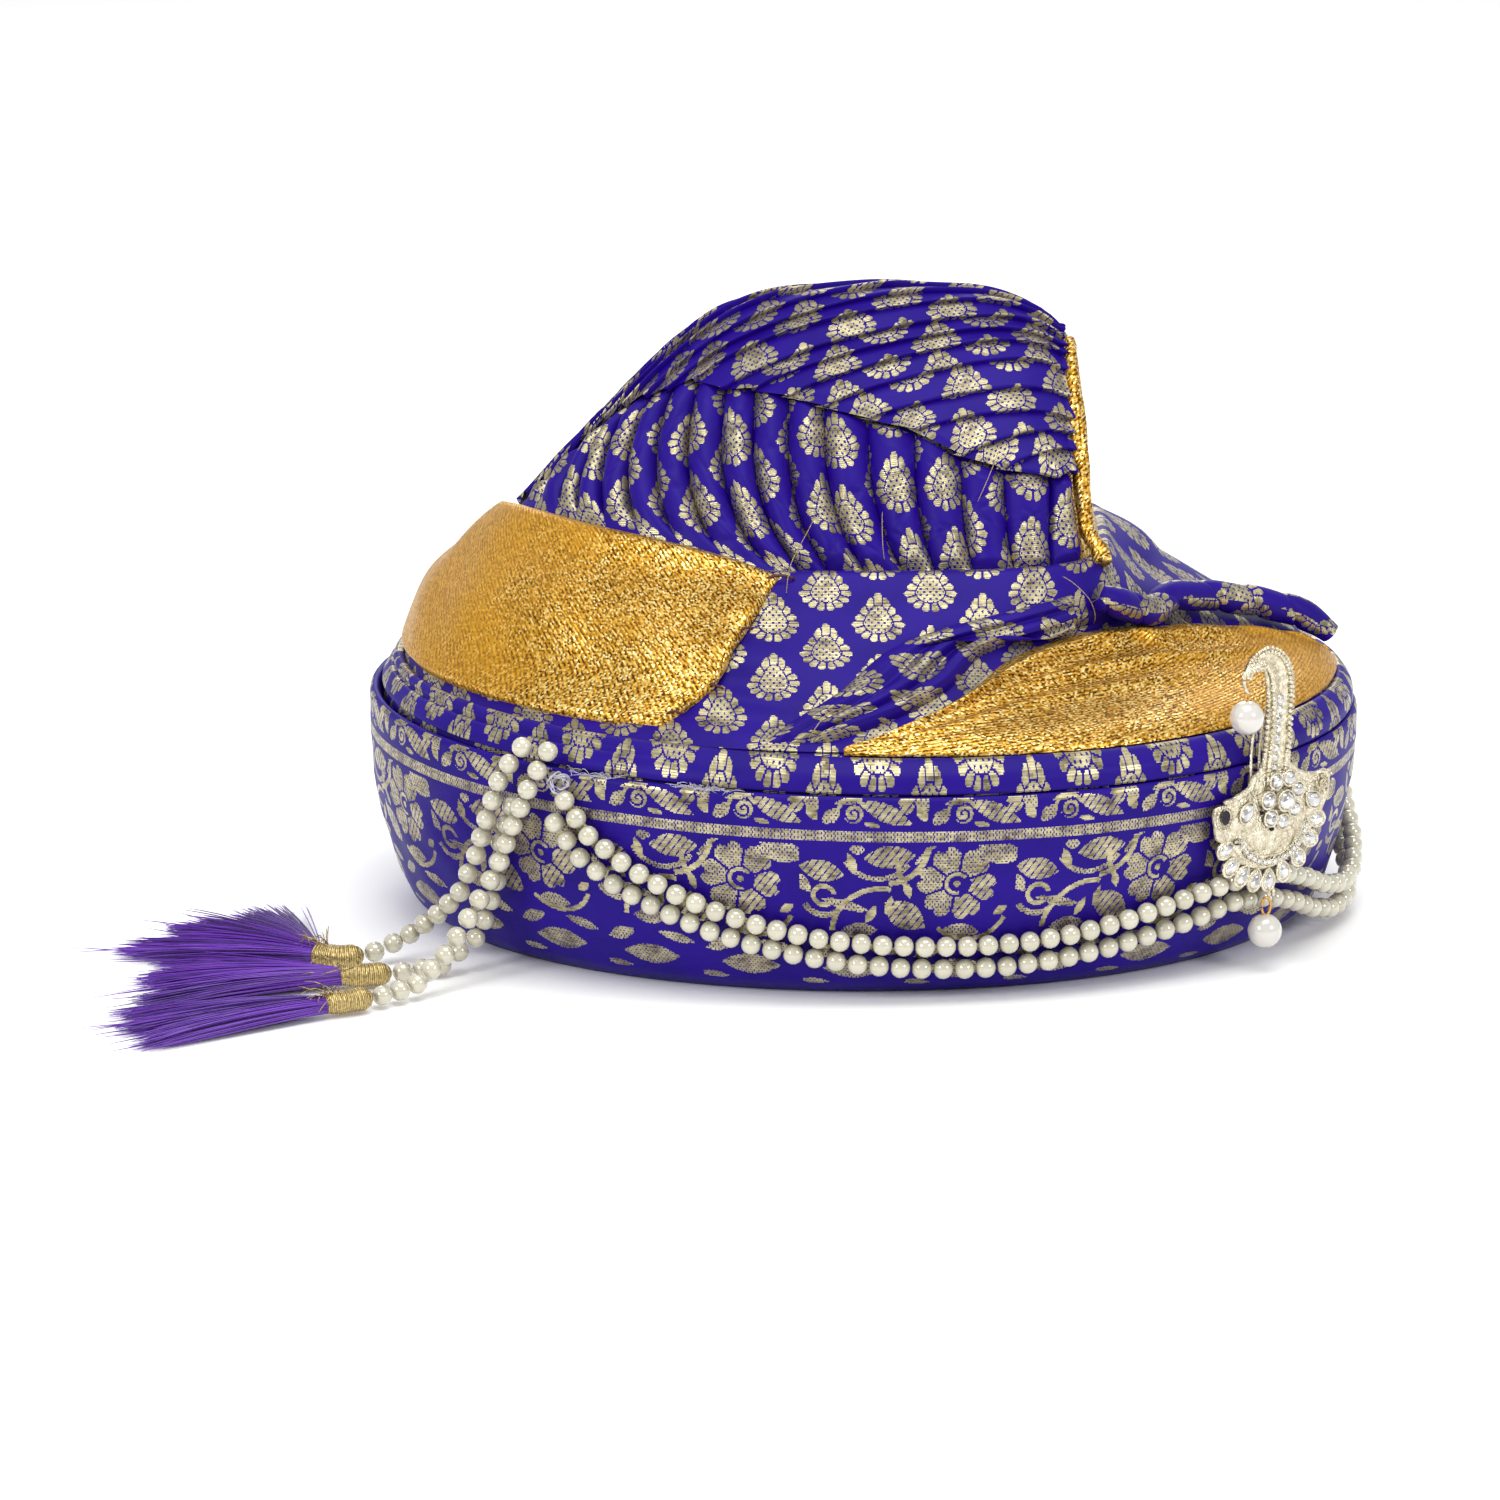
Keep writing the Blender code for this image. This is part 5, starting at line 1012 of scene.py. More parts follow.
STRING_LEFT_ROUTE = (
    (-0.660, -0.797, 1.296), (-0.700, -0.788, 1.179), (-0.727, -0.777, 1.019),
    (-0.749, -0.750, 0.806), (-0.771, -0.717, 0.603), (-0.800, -0.704, 0.428),
    (-0.832, -0.667, 0.329), (-0.863, -0.629, 0.234), (-0.900, -0.596, 0.147),
    (-0.940, -0.592, 0.087), (-0.990, -0.646, 0.059),
)
STRING_BACK_ROUTE = (
    (-0.673, -0.746, 0.971), (-0.688, -0.733, 0.849),
    (-0.707, -0.708, 0.693), (-0.723, -0.696, 0.520), (-0.740, -0.683, 0.347),
    (-0.760, -0.675, 0.208), (-0.787, -0.683, 0.104), (-0.820, -0.708, 0.059),
    (-0.867, -0.754, 0.059), (-0.930, -0.796, 0.059),
)


def string_route(route):
    """A string's centre line, at even steps, off the surface and moved out of the band's face."""
    points = np.array(route) * (BAND_LENGTH / 2, BAND_DEPTH / 2, BAND_SEAT_HEIGHT)
    points[:, 2] = maximum(points[:, 2], PEARL_DIAMETER / 2 + CLEARANCE)
    points = even_route(points, PEARL_DIAMETER * 2.4)
    reach = PEARL_DIAMETER / 2 + 2 * CLEARANCE + band_offset(points[:, 2] / BAND_SEAT_HEIGHT)
    share = hypot(points[:, 0] / (BAND_LENGTH / 2 + reach), points[:, 1] / (BAND_DEPTH / 2 + reach))
    points[:, :2] /= minimum(share, 1)[:, None]
    return MIDDLE + points


def bead(centre, ahead, radius, around=14, rings=9, dimple=0.10):
    """A sphere with its poles along the string, each pole sunk a little where the hole is."""
    ahead = unit(ahead)
    side = unit(np.cross(ahead, (0.3, 0.1, 1.0)))
    up = np.cross(ahead, side)
    polar = linspace(0, pi, rings)[:, None]
    turn = linspace(0, 2 * pi, around + 1)[None, :]
    r = radius * sin(polar)
    h = -radius * cos(polar) * (1 - dimple * exp(-(sin(polar) / 0.3) ** 2))
    points = (centre + (r * cos(turn))[..., None] * side + (r * sin(turn))[..., None] * up
              + (h + 0 * turn)[..., None] * ahead)
    return grid(points, np.broadcast_to(1000 * centre[:2], points.shape[:2] + (2,)))


def pearl_finish(name, hex_low, hex_high):
    """Pearl lustre: ivory under a clear coat, each pearl a little different, clouded within."""
    mat, add = finish(name, roughness=0.22, coat_weight=1.0, coat_roughness=0.11, coat_ior=2.2,
                      subsurface_weight=0.08, subsurface_scale=0.002)
    each = add("TexWhiteNoise", add("UVMap", uv_map="cloth"), noise_dimensions="2D")
    cloud = add("TexNoise", add("TexCoord", out=3), 260.0, 2.0)
    tone = add("MULTIPLY_ADD", each, 0.6, add("MULTIPLY", cloud, 0.5), use_clamp=True)
    dress(mat, base_color=add("Mix", tone, hex_low, hex_high, data_type="RGBA"))
    return mat


# Glass pearls: warm ivory, a soft square light on each and a cream shade between them.
string_pearl = pearl_finish("ivory glass pearl", "ABA58C", "C8C3AC")
ends = {}
for name, route in {"swag_upper": SWAG_UPPER_ROUTE, "swag_lower": SWAG_LOWER_ROUTE,
                    "tassel_string_front": STRING_FRONT_ROUTE, "tassel_string_left": STRING_LEFT_ROUTE,
                    "tassel_string_back": STRING_BACK_ROUTE}.items():
    line = string_route(route)
    run = run_along(line)
    count = int(run[-1] / PEARL_DIAMETER)
    at = (np.arange(count) + 0.5) * run[-1] / count
    centres = stack([interp(at, run, line[:, k]) for k in range(3)], -1)
    ahead = np.gradient(centres, axis=0)
    sizes = 0.5 * PEARL_DIAMETER * seed.uniform(0.965, 1.0, count)
    make(name + "_pearls", [bead(c, a, r) for c, a, r in zip(centres, ahead, sizes)], string_pearl, "pearl",
         name)
    ends[name] = line[-2:]

# The knot of clear thread where the strings are sewn to the band
clear_thread, add = finish("clear sewing thread", roughness=0.25)
strand = add("TexNoise", add("UVMap", uv_map="cloth"), 2.0, 1.0, noise_dimensions="2D")
dress(clear_thread, base_color=add("Mix", strand, "8C889C", "D2D0DA", data_type="RGBA"))
turns = linspace(0, 2 * pi * 5, 120)[:, None]
knot = string_route(SWAG_UPPER_ROUTE)[0] + (0, -0.0006, 0.0028) + 0.0024 * concatenate(
    [cos(turns) * (1 + 0.4 * sin(turns * 1.7)), 0.5 * cos(turns * 2.3),
     sin(turns) * (1 + 0.4 * cos(turns * 1.3))], axis=1)
make("string_knot", [sweep(knot, 0.00022, 6)], clear_thread, "silk_thread")

# The tassels: a head wound with gold thread, and a skirt of violet rayon strands cut uneven, lying
# fanned on the table. Loose gold ends stand out at the neck.
BINDING_RADIUS, SKIRT_LENGTH, BINDING_GAP = 0.0036, 0.060, 0.0010
gold_thread, add = finish("gold-wrapped thread", roughness=0.38, metallic=0.75)
cloth = add("UVMap", uv_map="cloth")
_, along = add("SeparateXYZ", cloth, out=(0, 1))
# Each wrap is lighter on its crown and darker between wraps: painted highlight and shade, also used as the
# bump
wound = add("PINGPONG", add("DIVIDE", along, 0.55), 0.5)
flake = add("TexNoise", cloth, 1.3, 2.0, noise_dimensions="2D")
tone = add("MULTIPLY_ADD", wound, 1.3, add("MULTIPLY_ADD", flake, 0.8, -0.35), use_clamp=True)
dress(gold_thread, base_color=add("Mix", tone, "6A4E22", "F2DC98", data_type="RGBA"),
      normal=add("Bump", 1.0, 0.00018, None, wound))

# Rayon floss: violet with a long soft highlight on each strand, deeper between the strands.
floss, add = finish("violet rayon floss", roughness=0.34, sheen_weight=0.25, sheen_roughness=0.35)
strand = add("FLOOR", add("SeparateXYZ", add("UVMap", uv_map="cloth")))
each = add("TexWhiteNoise", strand, noise_dimensions="1D")
dress(floss, base_color=add("Mix", each, "34086C", "7430BC", data_type="RGBA"))


def strands(roots, tips, lift, thickness, points=9):
    """Thin three-sided tubes, each on a parabola from its root to its tip with its own lift."""
    t = linspace(0, 1, points)[None, :, None]
    line = roots[:, None] * (1 - t) + tips[:, None] * t
    line = line + np.array([0, 0, 1.0]) * (lift[:, None, None] * 4 * t * (1 - t))
    line[..., 2] = maximum(line[..., 2], thickness * 1.1)
    ahead = np.gradient(line, axis=1)
    side = unit(np.cross(ahead, (0, 0, 1.0)))
    up = unit(np.cross(side, ahead))
    turn = np.arange(3) * 2 * pi / 3
    size = thickness * interp(linspace(0, 1, points), (0, 0.85, 1), (1, 1, 0.25))[None, :, None, None]
    rings = line[:, :, None] + size * (cos(turn)[None, None, :, None] * side[:, :, None]
                                       + sin(turn)[None, None, :, None] * up[:, :, None])
    n = len(roots)
    i, j, k = np.meshgrid(np.arange(n), np.arange(points - 1), np.arange(3), indexing="ij")
    corners = stack([(i * points + j + step) * 3 + (k + turned) % 3
                     for step, turned in ((0, 1), (1, 1), (1, 0), (0, 0))], -1).reshape(-1, 4)
    flat = np.broadcast_to(stack([i + 0.5, 6.0 * j / points], -1)[..., None, :], (n, points - 1, 3, 4, 2))
    return rings.reshape(-1, 3), corners, flat.reshape(-1, 4, 2)


LOOSE = 26
# Each tassel: its string, the head's heading, the skirt's heading and spread
for prefix, string, heading, skirt_heading, spread in (
        ("tassel_front", "tassel_string_front", 200.0, 196.0, 30.0),
        ("tassel_left", "tassel_string_left", 150.0, 138.0, 62.0),
        ("tassel_middle", "tassel_string_back", 178.0, 177.0, 44.0)):
    before, end = ends[string]
    came = arctan2(end[1] - before[1], end[0] - before[0])
    bend = (radians(heading) - came + pi) % (2 * pi) - pi
    step = BINDING_RADIUS * 4.2 / 5
    centre = np.array([end[0], end[1], BINDING_RADIUS + CLEARANCE])
    centre += np.array([cos(came), sin(came), 0]) * BINDING_GAP
    knots = [centre]
    for k in range(5):
        way = came + bend * min((k + 0.5) / 4, 1)
        knots.append(knots[-1] + step * np.array([cos(way), sin(way), 0]))
    line = even_route(knots, 0.00016)
    t = linspace(0, 1, len(line))[:, None]
    turn = linspace(0, 2 * pi, 25)[None, :]
    form = interp(t, (0, 0.06, 0.2, 0.4, 0.6, 0.8, 0.95, 1.0),
                  (0.45, 0.74, 0.98, 0.93, 0.98, 0.92, 0.84, 0.6))
    winding = 0.05 * np.abs(sin(pi * (t * 13 + turn / (2 * pi)))) + 0.02 * sin(turn * 3 + t * 11)
    radii = BINDING_RADIUS * (form - 0.03 + winding)
    radii[:, -1] = radii[:, 0]
    ahead = np.array([cos(came + bend), sin(came + bend), 0])
    aside = np.array([-ahead[1], ahead[0], 0])
    neck = knots[-1]
    roots = neck + seed.uniform(-1, 1, (LOOSE, 1)) * aside * 0.0026 + (0, 0, 0.0005)
    roots = roots - ahead * seed.uniform(0, 0.006, (LOOSE, 1))
    roots[:, 2] += seed.uniform(-0.0015, 0.0030, LOOSE)
    tips = roots + ahead * seed.uniform(-0.002, 0.011, (LOOSE, 1))
    tips = tips + aside * seed.normal(0, 0.0035, (LOOSE, 1))
    tips[:, 2] = maximum(tips[:, 2] + seed.uniform(-0.003, 0.0045, LOOSE), 0.0006)
    loose_ends = strands(roots, tips, seed.uniform(0, 0.002, LOOSE), 0.00017, 7)
    make(prefix + "_head", [sweep(line, radii, 24), loose_ends], gold_thread, "gold_thread",
         prefix + "_binding")
    count = int(440 + 6 * spread)
    side = np.sort(seed.uniform(-1, 1, count)) + seed.normal(0, 0.05, count)
    lock = sin(side * 15 + 1.0) * 0.06
    fan = (side + lock) * radians(spread) / 2 * (1 + seed.normal(0, 0.10, count))
    fan = fan + radians(skirt_heading - heading)
    ray = ahead * cos(fan)[:, None] + aside * sin(fan)[:, None]
    reach = SKIRT_LENGTH * (0.93 + 0.07 * sin(side * 7 + 2) + seed.uniform(-0.14, 0.05, count)
                            + 0.22 * (seed.random(count) > 0.985))
    height = seed.uniform(0, 1, count) ** 1.3
    neck_radius = BINDING_RADIUS * 0.72
    roots = neck - ahead * 0.0012 + aside * (side * neck_radius)[:, None]
    roots[:, 2] = (BINDING_RADIUS + CLEARANCE
                   + (height - 0.55) * 2 * neck_radius * np.sqrt(clip(1 - (side * 0.9) ** 2, 0.05, 1)))
    tips = neck + ray * reach[:, None] + aside * (side * neck_radius)[:, None]
    tips[:, 2] = 0.0003 + height * 0.0020
    make(prefix + "_strands", [strands(roots, tips, height * 0.0016, 0.00021)], floss, "silk_thread",
         prefix + "_skirt")

# The brooch: a cast and silver-plated turban ornament with a crooked plume above a fan. Two rims of
# beads run up the plume beside a row of stones; glass stones sit in cups, and two pearls hang free.
BROOCH_STANDOFF = 0.0036
BROOCH_ANGLE, BROOCH_TURN = -39.0, 38.0
DROP_PEARL_RADIUS = 0.0051
# Middle of the crescent of small stones, right and up in mm
CRESCENT_RIGHT, CRESCENT_UP = -0.5, 46.5


def brooch_place(right, height, out):
    """A point of the brooch in mm: right and out in its own plane, height above the table."""
    turn = radians(BROOCH_TURN)
    foot = ring_point(np.float64(BROOCH_ANGLE), 0.0, np.float64(0.0))
    right, height, out = np.broadcast_arrays(*(np.asarray(at, float) / 1000 for at in (right, height, out)))
    out = out + BROOCH_STANDOFF
    return foot + stack([cos(turn) * right + sin(turn) * out,
                         sin(turn) * right - cos(turn) * out, height], -1)


# Silver plate over a sandy casting: pale champagne in the light, grey-gold in its hollows.
plated, add = finish("silver-plated casting", metallic=0.88)
where = add("TexCoord", out=3)
grain = add("TexVoronoi", where, 1500.0)
cast = add("TexNoise", where, 520.0, 3.0)
tone = add("MULTIPLY_ADD", grain, 0.55, add("MULTIPLY_ADD", cast, 1.5, -0.62), use_clamp=True)
sand = add("MULTIPLY_ADD", grain, -1.0, add("MULTIPLY", cast, 1.4))
dress(plated, base_color=add("Mix", tone, "F3ECD8", "A89A78", data_type="RGBA"),
      roughness=add("MULTIPLY_ADD", cast, 0.22, 0.18), normal=add("Bump", 0.9, 0.00028, None, sand))
# Foil-backed cut glass: each facet takes its own grey or white at random, painted reflections of dark and
# light surroundings.
glass, add = finish("foil-backed cut glass", metallic=0.72, roughness=0.07, coat_weight=0.8,
                    coat_roughness=0.03)
facet_reflection = add("TexWhiteNoise", add("UVMap", uv_map="cloth"), noise_dimensions="2D")
dress(glass, base_color=add("Mix", add("POWER", facet_reflection, 0.7), "5E5A58", "FDFDFB", data_type="RGBA"))

# Fan body: a star-shaped outline about its centre, domed, with a raised edge and low scrolls
FAN_CENTRE = (2.0, 46.5)
FAN_OUTLINE = np.array([
    (5.6, 63.0), (9.8, 59.7), (13.1, 58.1), (17.0, 57.5), (21.0, 58.1), (22.4, 55.2), (21.9, 50.7),
    (20.2, 46.9), (16.6, 42.5), (13.4, 38.4), (9.6, 35.0), (3.6, 32.2), (-1.8, 31.2), (-6.6, 31.8),
    (-12.0, 33.8), (-16.0, 37.0),
    (-19.3, 41.5), (-21.8, 43.0), (-22.6, 47.5), (-23.2, 50.7), (-22.4, 53.0), (-19.4, 54.4), (-17.3, 53.0),
    (-15.3, 54.8), (-12.2, 56.0), (-9.4, 57.0), (-8.2, 59.8), (-5.2, 61.4), (-3.9, 64.0), (1.0, 66.0),
])
offset = FAN_OUTLINE - FAN_CENTRE
order = np.argsort(arctan2(offset[:, 1], offset[:, 0]))
bearing, distance = arctan2(offset[:, 1], offset[:, 0])[order], hypot(*offset.T)[order]
turn = linspace(-pi, pi, 181)
rim = interp(turn, concatenate([bearing - 2 * pi, bearing, bearing + 2 * pi]), np.tile(distance, 3))
t = linspace(0, 1, 34)[:, None]
right = FAN_CENTRE[0] + rim * t * cos(turn)
height = FAN_CENTRE[1] + rim * t * sin(turn)
scroll = cos(turn * 9 + t * 16) * exp(-((t - 0.72) / 0.14) ** 2)
out = (1.0 + 1.5 * (1 - t**2) + 0.55 * exp(-((t - 0.95) / 0.035) ** 2) + 0.35 * scroll
       + 0.25 * cos(turn * 16) * exp(-((t - 0.42) / 0.12) ** 2))
front = brooch_place(right, height, out)
edge_row = brooch_place(right[-1:], height[-1:], 0.3)
back = brooch_place(right[::-1], height[::-1], 0.0)
fan_parts = [grid(concatenate([front, edge_row, back]), flip=True)]

# Plume: an oval section along its crooked line, with a channel down the middle
STEM_LINE = np.array([
    (0.0, 55.0, 5.0), (0.6, 62.0, 4.7), (1.0, 66.0, 4.6), (1.6, 74.0, 4.6), (2.0, 82.0, 4.7),
    (1.7, 88.0, 4.8),
    (-0.2, 92.6, 4.3), (-3.6, 95.0, 3.4), (-7.0, 94.6, 2.5), (-9.6, 92.6, 1.8), (-11.0, 90.2, 1.3),
])
stem = cubic_rows(STEM_LINE, linspace(0, len(STEM_LINE) - 1, 130))
ahead = np.gradient(stem[:, :2], axis=0)
ahead = unit(ahead)
across = linspace(-1, 1, 25)[None, :]
wide = stem[:, 2:3] * across
body = 0.6 + 1.5 * np.sqrt(clip(1 - across**2, 0, 1)) - 0.9 * exp(-(across / 0.34) ** 2) + 0 * wide
right, height = stem[:, 0:1] - ahead[:, 1:2] * wide, stem[:, 1:2] + ahead[:, 0:1] * wide
front, flat_back = brooch_place(right, height, body), brooch_place(right, height, 0.0)
fan_parts.append(grid(concatenate([flat_back[:1], front, flat_back[::-1]])))


def oval_of(right, height, wide, tall, turn, turned, drop):
    """Right and height along an oval, leaning by turned; drop draws its top in to a point."""
    u = wide * cos(turn) * (1 - drop * clip(sin(turn), 0, 1) ** 2)
    w = tall * sin(turn) * (1 + 0.25 * drop * clip(sin(turn), 0, 1))
    return right + u * cos(turned) - w * sin(turned), height + u * sin(turned) + w * cos(turned)


def ring_of(right, height, out, wide, tall, turned, wire, sides=7, steps=22, drop=0.0):
    """A closed wire round an oval in the brooch's plane."""
    turn = linspace(0, 2 * pi, steps + 1)[:, None]
    cross = linspace(0, 2 * pi, sides + 1)[None, :]
    line = oval_of(right, height, wide + wire * cos(cross), tall + wire * cos(cross), turn, turned, drop)
    return grid(brooch_place(*line, out + wire * sin(cross) + 0 * turn))


def stone_of(right, height, out, wide, tall, turned, number, sides=8, drop=0.0):
    """A brilliant: a girdle, a ring of facets turned half a step, and a flat table on top."""
    rings = []
    for level, (grow, rise) in enumerate(((1.0, 0.0), (0.80, 0.62), (0.46, 1.0), (0.0, 1.02))):
        turn = (np.arange(sides + 1) + 0.5 * (level % 2)) * 2 * pi / sides
        line = oval_of(right, height, wide * grow, tall * grow, turn, turned, drop)
        rings.append(brooch_place(*line, out + rise * min(wide, tall) * 0.62))
    points, corners, _ = grid(np.array(rings))
    each = np.arange(len(corners), dtype=float) + number * 37.0
    each[-sides:] = number * 37.0 + 900
    return points, corners, np.broadcast_to(stack([each, each * 0.73], -1)[:, None], (len(corners), 4, 2))


stones, settings = [], []


def set_stone(right, height, out, wide, tall, turned, number, collar, wire, ring, facets=8, drop=0.0,
              lip=0.0):
    """A stone and the wire collar round it, so much wider than the stone; ring is the wire's sides
    and steps, and lip how far it stands over the stone's girdle."""
    stones.append(stone_of(right, height, out, wide, tall, turned, number, facets, drop))
    leaning = turned if drop else 0
    settings.append(ring_of(right, height, out + lip, wide + collar[0], tall + collar[-1], leaning, wire,
                            *ring, drop))


# The row of stones up the plume, a little larger towards its top
PLUME_STONES = ((0.0, 61.6, 1.25), (0.2, 64.6, 1.3), (0.4, 67.6, 1.35), (0.7, 70.6, 1.35), (1.0, 73.5, 1.4),
                (1.2, 76.4, 1.4), (1.4, 79.3, 1.45), (1.6, 82.2, 1.55))
for number, (right, height, size) in enumerate(PLUME_STONES):
    set_stone(right, height, 1.3, size, size, 0.3 * number, number, (0.15,), 0.22, (5, 14), lip=0.05)
# The flower: seven stones round a larger one, each in a cup
FLOWER_STONES = ((-0.9, 58.1, 2.2), (4.2, 58.3, 2.2), (7.6, 54.4, 2.1), (6.4, 48.6, 2.1), (2.0, 45.4, 2.1),
                 (-2.8, 47.2, 2.3), (-3.9, 52.8, 2.4), (2.6, 51.8, 2.9))
around = linspace(0, 2 * pi, 15)[None, :]
for number, (right, height, size) in enumerate(FLOWER_STONES):
    out = 3.3 if size < 2.8 else 3.9
    set_stone(right, height, out, size, size, 0.4 * number, number + 10, (0.25,), 0.38, (6, 18), lip=0.1)
    share = linspace(0.2, 1.05, 4)[:, None]
    cup = share * (size + 0.2)
    settings.append(grid(brooch_place(right + cup * cos(around), height + cup * sin(around),
                                      out - 1.6 * share**2 + 0.2)))
for number, (right, height, turned) in enumerate(((14.6, 49.9, 0.9), (-11.5, 50.0, -0.6))):
    set_stone(right, height, 2.5, 2.2, 3.0, turned, number + 20, (0.3,), 0.36, (6, 20), 10, 0.35, 0.1)
# Nine drops along the foot of the fan, each pointing to its middle, in a collar and a lower ring
DROP_STONES = ((17.1, 43.3), (14.4, 37.9), (9.9, 32.9), (4.1, 29.4), (-1.7, 27.6), (-7.0, 28.4),
               (-12.0, 30.6), (-16.4, 34.2), (-18.6, 39.7))
for number, (right, height) in enumerate(DROP_STONES):
    toward = arctan2(CRESCENT_UP - height, CRESCENT_RIGHT - right) - pi / 2
    set_stone(right, height, 1.3, 2.0, 2.7, toward, number + 30, (0.45, 0.55), 0.52, (6, 24), 10, 0.45)
    settings.append(ring_of(right, height, 0.6, 1.4, 1.9, toward, 1.3, 6, 18, 0.45))
# The crescent of small stones inside them
for k in range(17):
    a = radians(-158 + k * 8.8)
    set_stone(CRESCENT_RIGHT + 13.6 * cos(a), CRESCENT_UP + 13.2 * sin(a), 1.9, 0.85, 0.85, k, k + 50,
              (0.15,), 0.24, (4, 10), 6)
# Beads in two staggered rows along each rim of the plume
BEAD_AXIS = np.array([0.6, -0.8, 0.1])
small = []
for side in (-1, 1):
    for row, step, out in ((0.70, 0.1, 1.9), (1.0, 0, 1.1)):
        places = linspace(0.55, 8.6, 40)
        at = cubic_rows(STEM_LINE, places + step)
        way = unit(cubic_rows(STEM_LINE, places + 0.12)[:, :2] - at[:, :2])
        aside = at[:, 2] * side * row
        centres = brooch_place(at[:, 0] - way[:, 1] * aside, at[:, 1] + way[:, 0] * aside, out)
        small += [bead(centre, BEAD_AXIS, 0.00082 * size, 7, 5, 0)
                  for centre, size in zip(centres, 0.35 + 0.65 * at[:, 2] / 4.6)]
# Ropes of small beads, inside the crescent, coiled at the right and round the left lobe: count,
# first turn, step, centre, half sizes, their growth with each bead, distance out, bead radius
for count, first, step, right, height, wide, tall, more_wide, more_tall, out, radius in (
        (44, radians(-170), radians(3.6), CRESCENT_RIGHT, CRESCENT_UP, 11.6, 11.0, 0, 0, 2.7, 0.00036),
        (26, 0, 0.55, 19.0, 54.4, 0.35, 0.35, 0.14, 0.13, 2.0, 0.00046),
        (20, radians(200), radians(-18), -19.6, 49.6, 3.1, 3.6, 0, 0, 1.9, 0.00052)):
    k = np.arange(count)
    a = first + step * k
    small += [bead(centre, BEAD_AXIS, radius, 6, 4, 0) for centre in brooch_place(
        right + (wide + more_wide * k) * cos(a), height + (tall + more_tall * k) * sin(a), out)]
# Bail under the fan, and the curl at the plume's end
k = np.arange(9)
small += [bead(centre, BEAD_AXIS, 0.00075, 6, 5, 0) for centre in brooch_place(
    -0.8 + 1.1 * cos(k * 2.1), 23.0 + 0.32 * k, 1.2 + 0.3 * sin(k * 3))]
curl = linspace(0, 1, 24)
hook = brooch_place(-10.6 - 1.8 * sin(curl * 3.6), 91.4 - 4.6 * curl + 1.4 * sin(curl * 5.5), 0.9 + 0 * curl)
settings.append(sweep(hook, 0.0009 * (1 - 0.45 * curl), 8))
make("brooch_casting", fan_parts + settings + small, plated, "champagne_metal", "brooch")
make("brooch_stones", stones, glass, "champagne_metal", smooth=False)

# The dark hollows seen through the left lobe and under it, down to the brocade behind: dark discs of painted
# shade.
hollow, add = finish("shadowed hollow in the casting", roughness=0.8)
speck = add("TexNoise", add("TexCoord", out=3), 900.0, 2.0)
dress(hollow, base_color=add("Mix", speck, "120A18", "3A3340", data_type="RGBA"))
holes = []
t, turn = linspace(0, 1, 5)[:, None], linspace(0, 2 * pi, 19)[None, :]
for right, height, wide, tall, out in ((-19.6, 49.9, 1.7, 2.3, 2.3), (-14.6, 41.6, 1.8, 0.9, 2.3),
                                       (-6.4, 49.4, 0.8, 0.6, 3.35), (-2.4, 43.8, 1.0, 0.6, 3.35)):
    holes.append(grid(brooch_place(right + wide * t * cos(turn), height + tall * t * sin(turn),
                                   out - 0.9 * (1 - t**2))))
make("brooch_hollow_shade", holes, hollow, "champagne_metal")

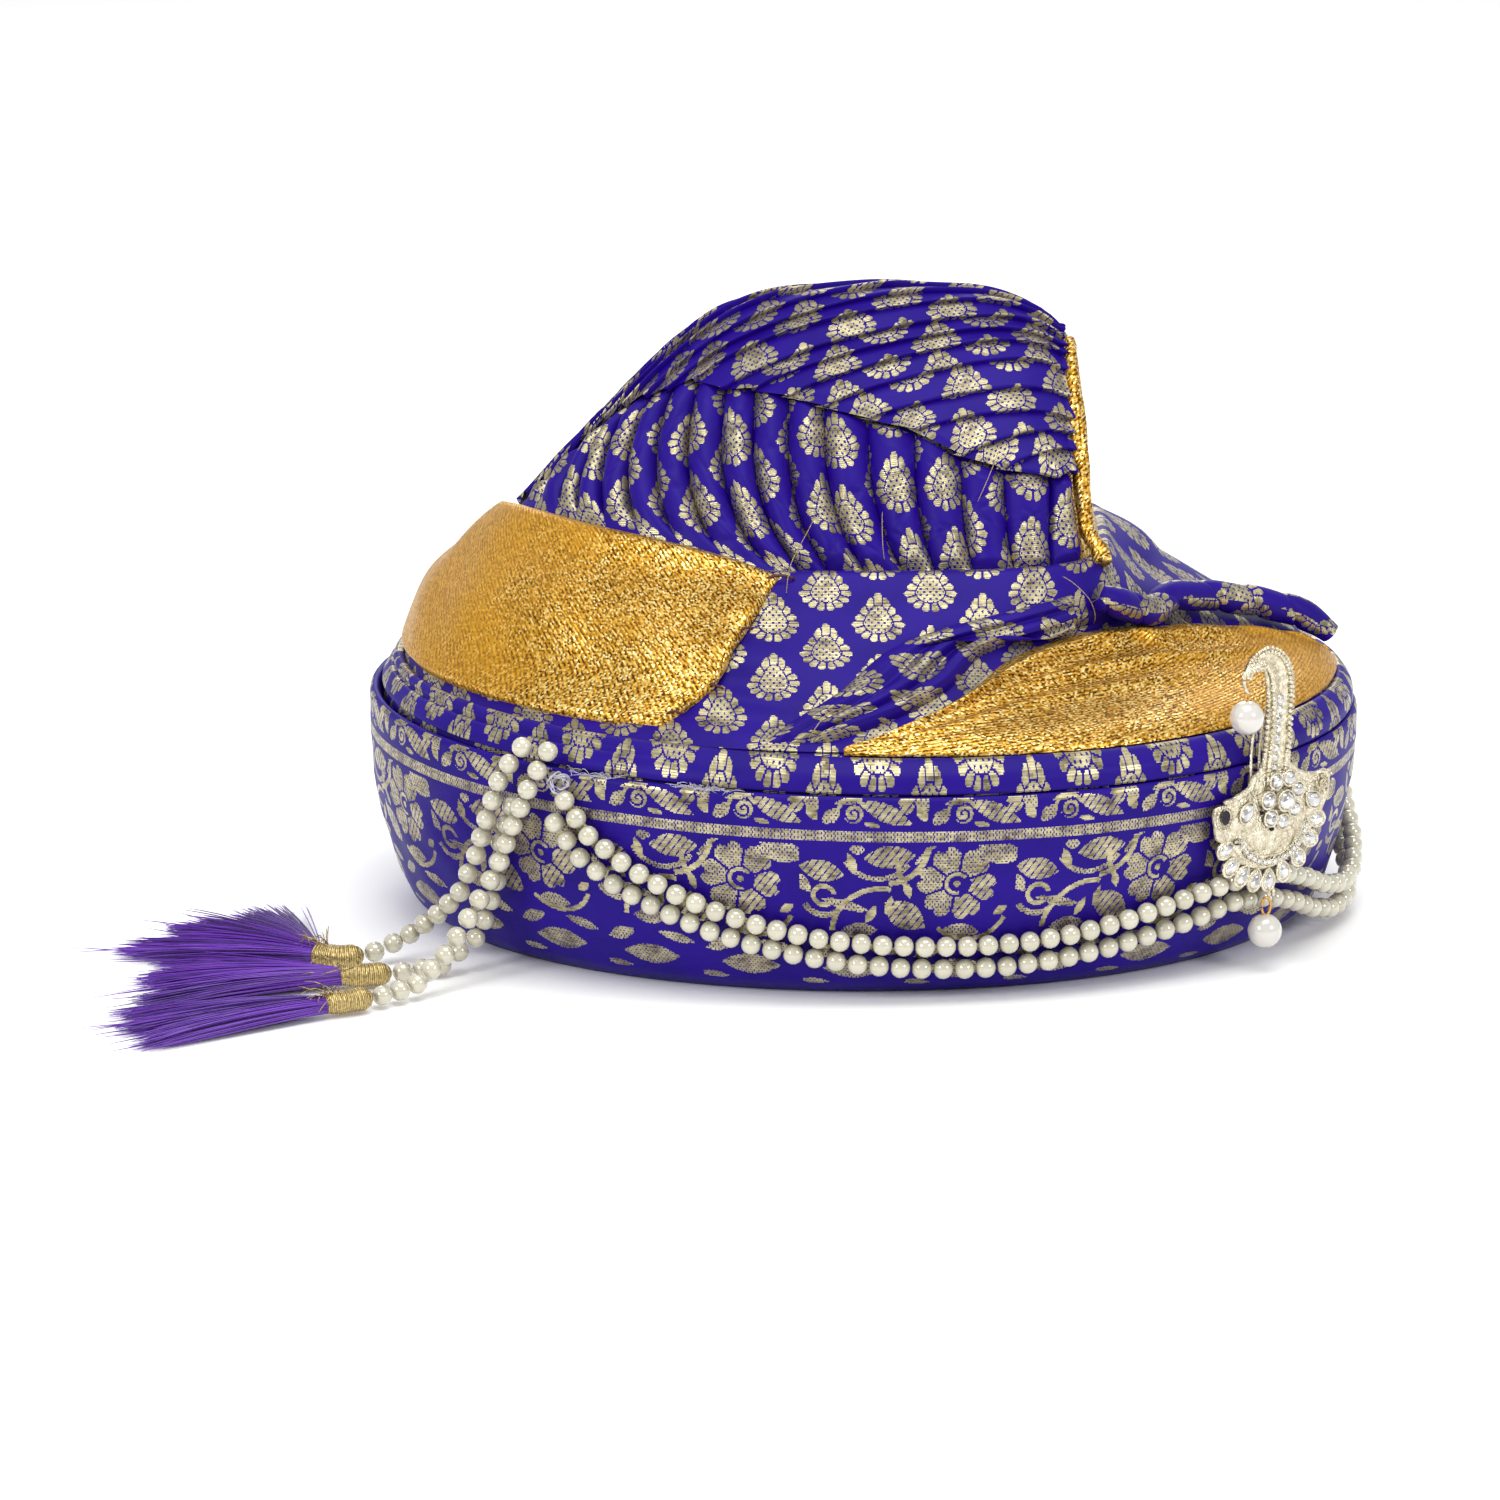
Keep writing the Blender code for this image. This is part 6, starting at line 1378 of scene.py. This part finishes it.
# Two big pearls: one on gold wires from the plume's curl, one on an oval gold ring from the bail
big_pearl = pearl_finish("white glass pearl", "B9B4AC", "CFCBC4")
for name, right, height in (("brooch_pearl_upper", -11.0, 78.6), ("brooch_pearl_lower", -2.3, 12.2)):
    centre = brooch_place(right, height, 1.0)
    drop = bead(centre, np.array([0.02, 0.01, 1.0]), DROP_PEARL_RADIUS, 40, 25, 0.03)
    make(name + "_bead", [drop], big_pearl, "pearl", name)
t, turn = linspace(0, 1, 20), linspace(0, 2 * pi, 29)
wires = [sweep(brooch_place(-11.0 + shift * sin(pi * t), 83.4 + 5.6 * t, 1.0), 0.00030, 7)
         for shift in (-0.9, 1.1)]
wires.append(sweep(brooch_place(-2.0 + 1.35 * cos(turn), 19.6 + 2.7 * sin(turn), 1.0 + 0.4 * cos(turn)),
                   0.00042, 8))
plate_gold, add = finish("gold-plated wire", metallic=0.95, roughness=0.28)
pull = add("TexNoise", add("TexCoord", out=3), 700.0, 2.0)
dress(plate_gold, base_color=add("Mix", pull, "B07A34", "E8BE72", data_type="RGBA"))
make("pearl_wires", wires, plate_gold, "champagne_metal")
# The brooch's pin: two prongs of the same casting that slip down behind the band's edge
t = linspace(0, 1, 30)
prongs = [sweep(brooch_place(right + 2.4 * t**2, 58.0 + 22.0 * t, -0.9 - 0.5 * sin(pi * t)), 0.00048, 8)
          for right in (-7.2, -4.0)]
make("brooch_pin_prongs", prongs, plated, "champagne_metal", "brooch_pin")

# Loose ends: single gold and white threads that stand out of the cloth where it was cut
stray = []
t = linspace(0, 1, 18)
# Each thread: angle and level of its root and of its tip, and how far it bows out
for angle, level, tip_angle, tip_level, bow in (
        (-92, 6.4, -90, 8.1, 0.003), (-60, 8.4, -57, 9.2, 0.002), (-97, 2.2, -92, 3.2, 0.003),
        (-30, 3.4, -22, 4.6, 0.002), (-75, 7.2, -77, 8.2, 0.002), (-40, 5.4, -47, 6.6, 0.003)):
    stray.append(sweep(crown_point(part_way(angle, tip_angle, t), part_way(level, tip_level, t),
                                   0.0022 + bow * sin(pi * t) + 0.001 * t), 0.00013, 5))
make("stray_threads", stray, gold_thread, "gold_thread")
# White floss of the selvedge, frayed out in two places along the band's top edge
at = concatenate([seed.uniform(-125.5, -119.5, 34), seed.uniform(-112.5, -105.5, 56)])
roots = ring_point(at, 0.0003, band_lip_height(at) + 0.0002)
tips = ring_point(at + seed.normal(0, 1.2, 90), seed.uniform(-0.0012, 0.0014, 90), band_lip_height(at)
                  + seed.uniform(-0.0010, 0.0016, 90))
floss_ends = strands(roots, tips, seed.uniform(0, 0.0009, 90), 0.00011, 5)
make("selvedge_floss", [floss_ends], clear_thread, "silk_thread")
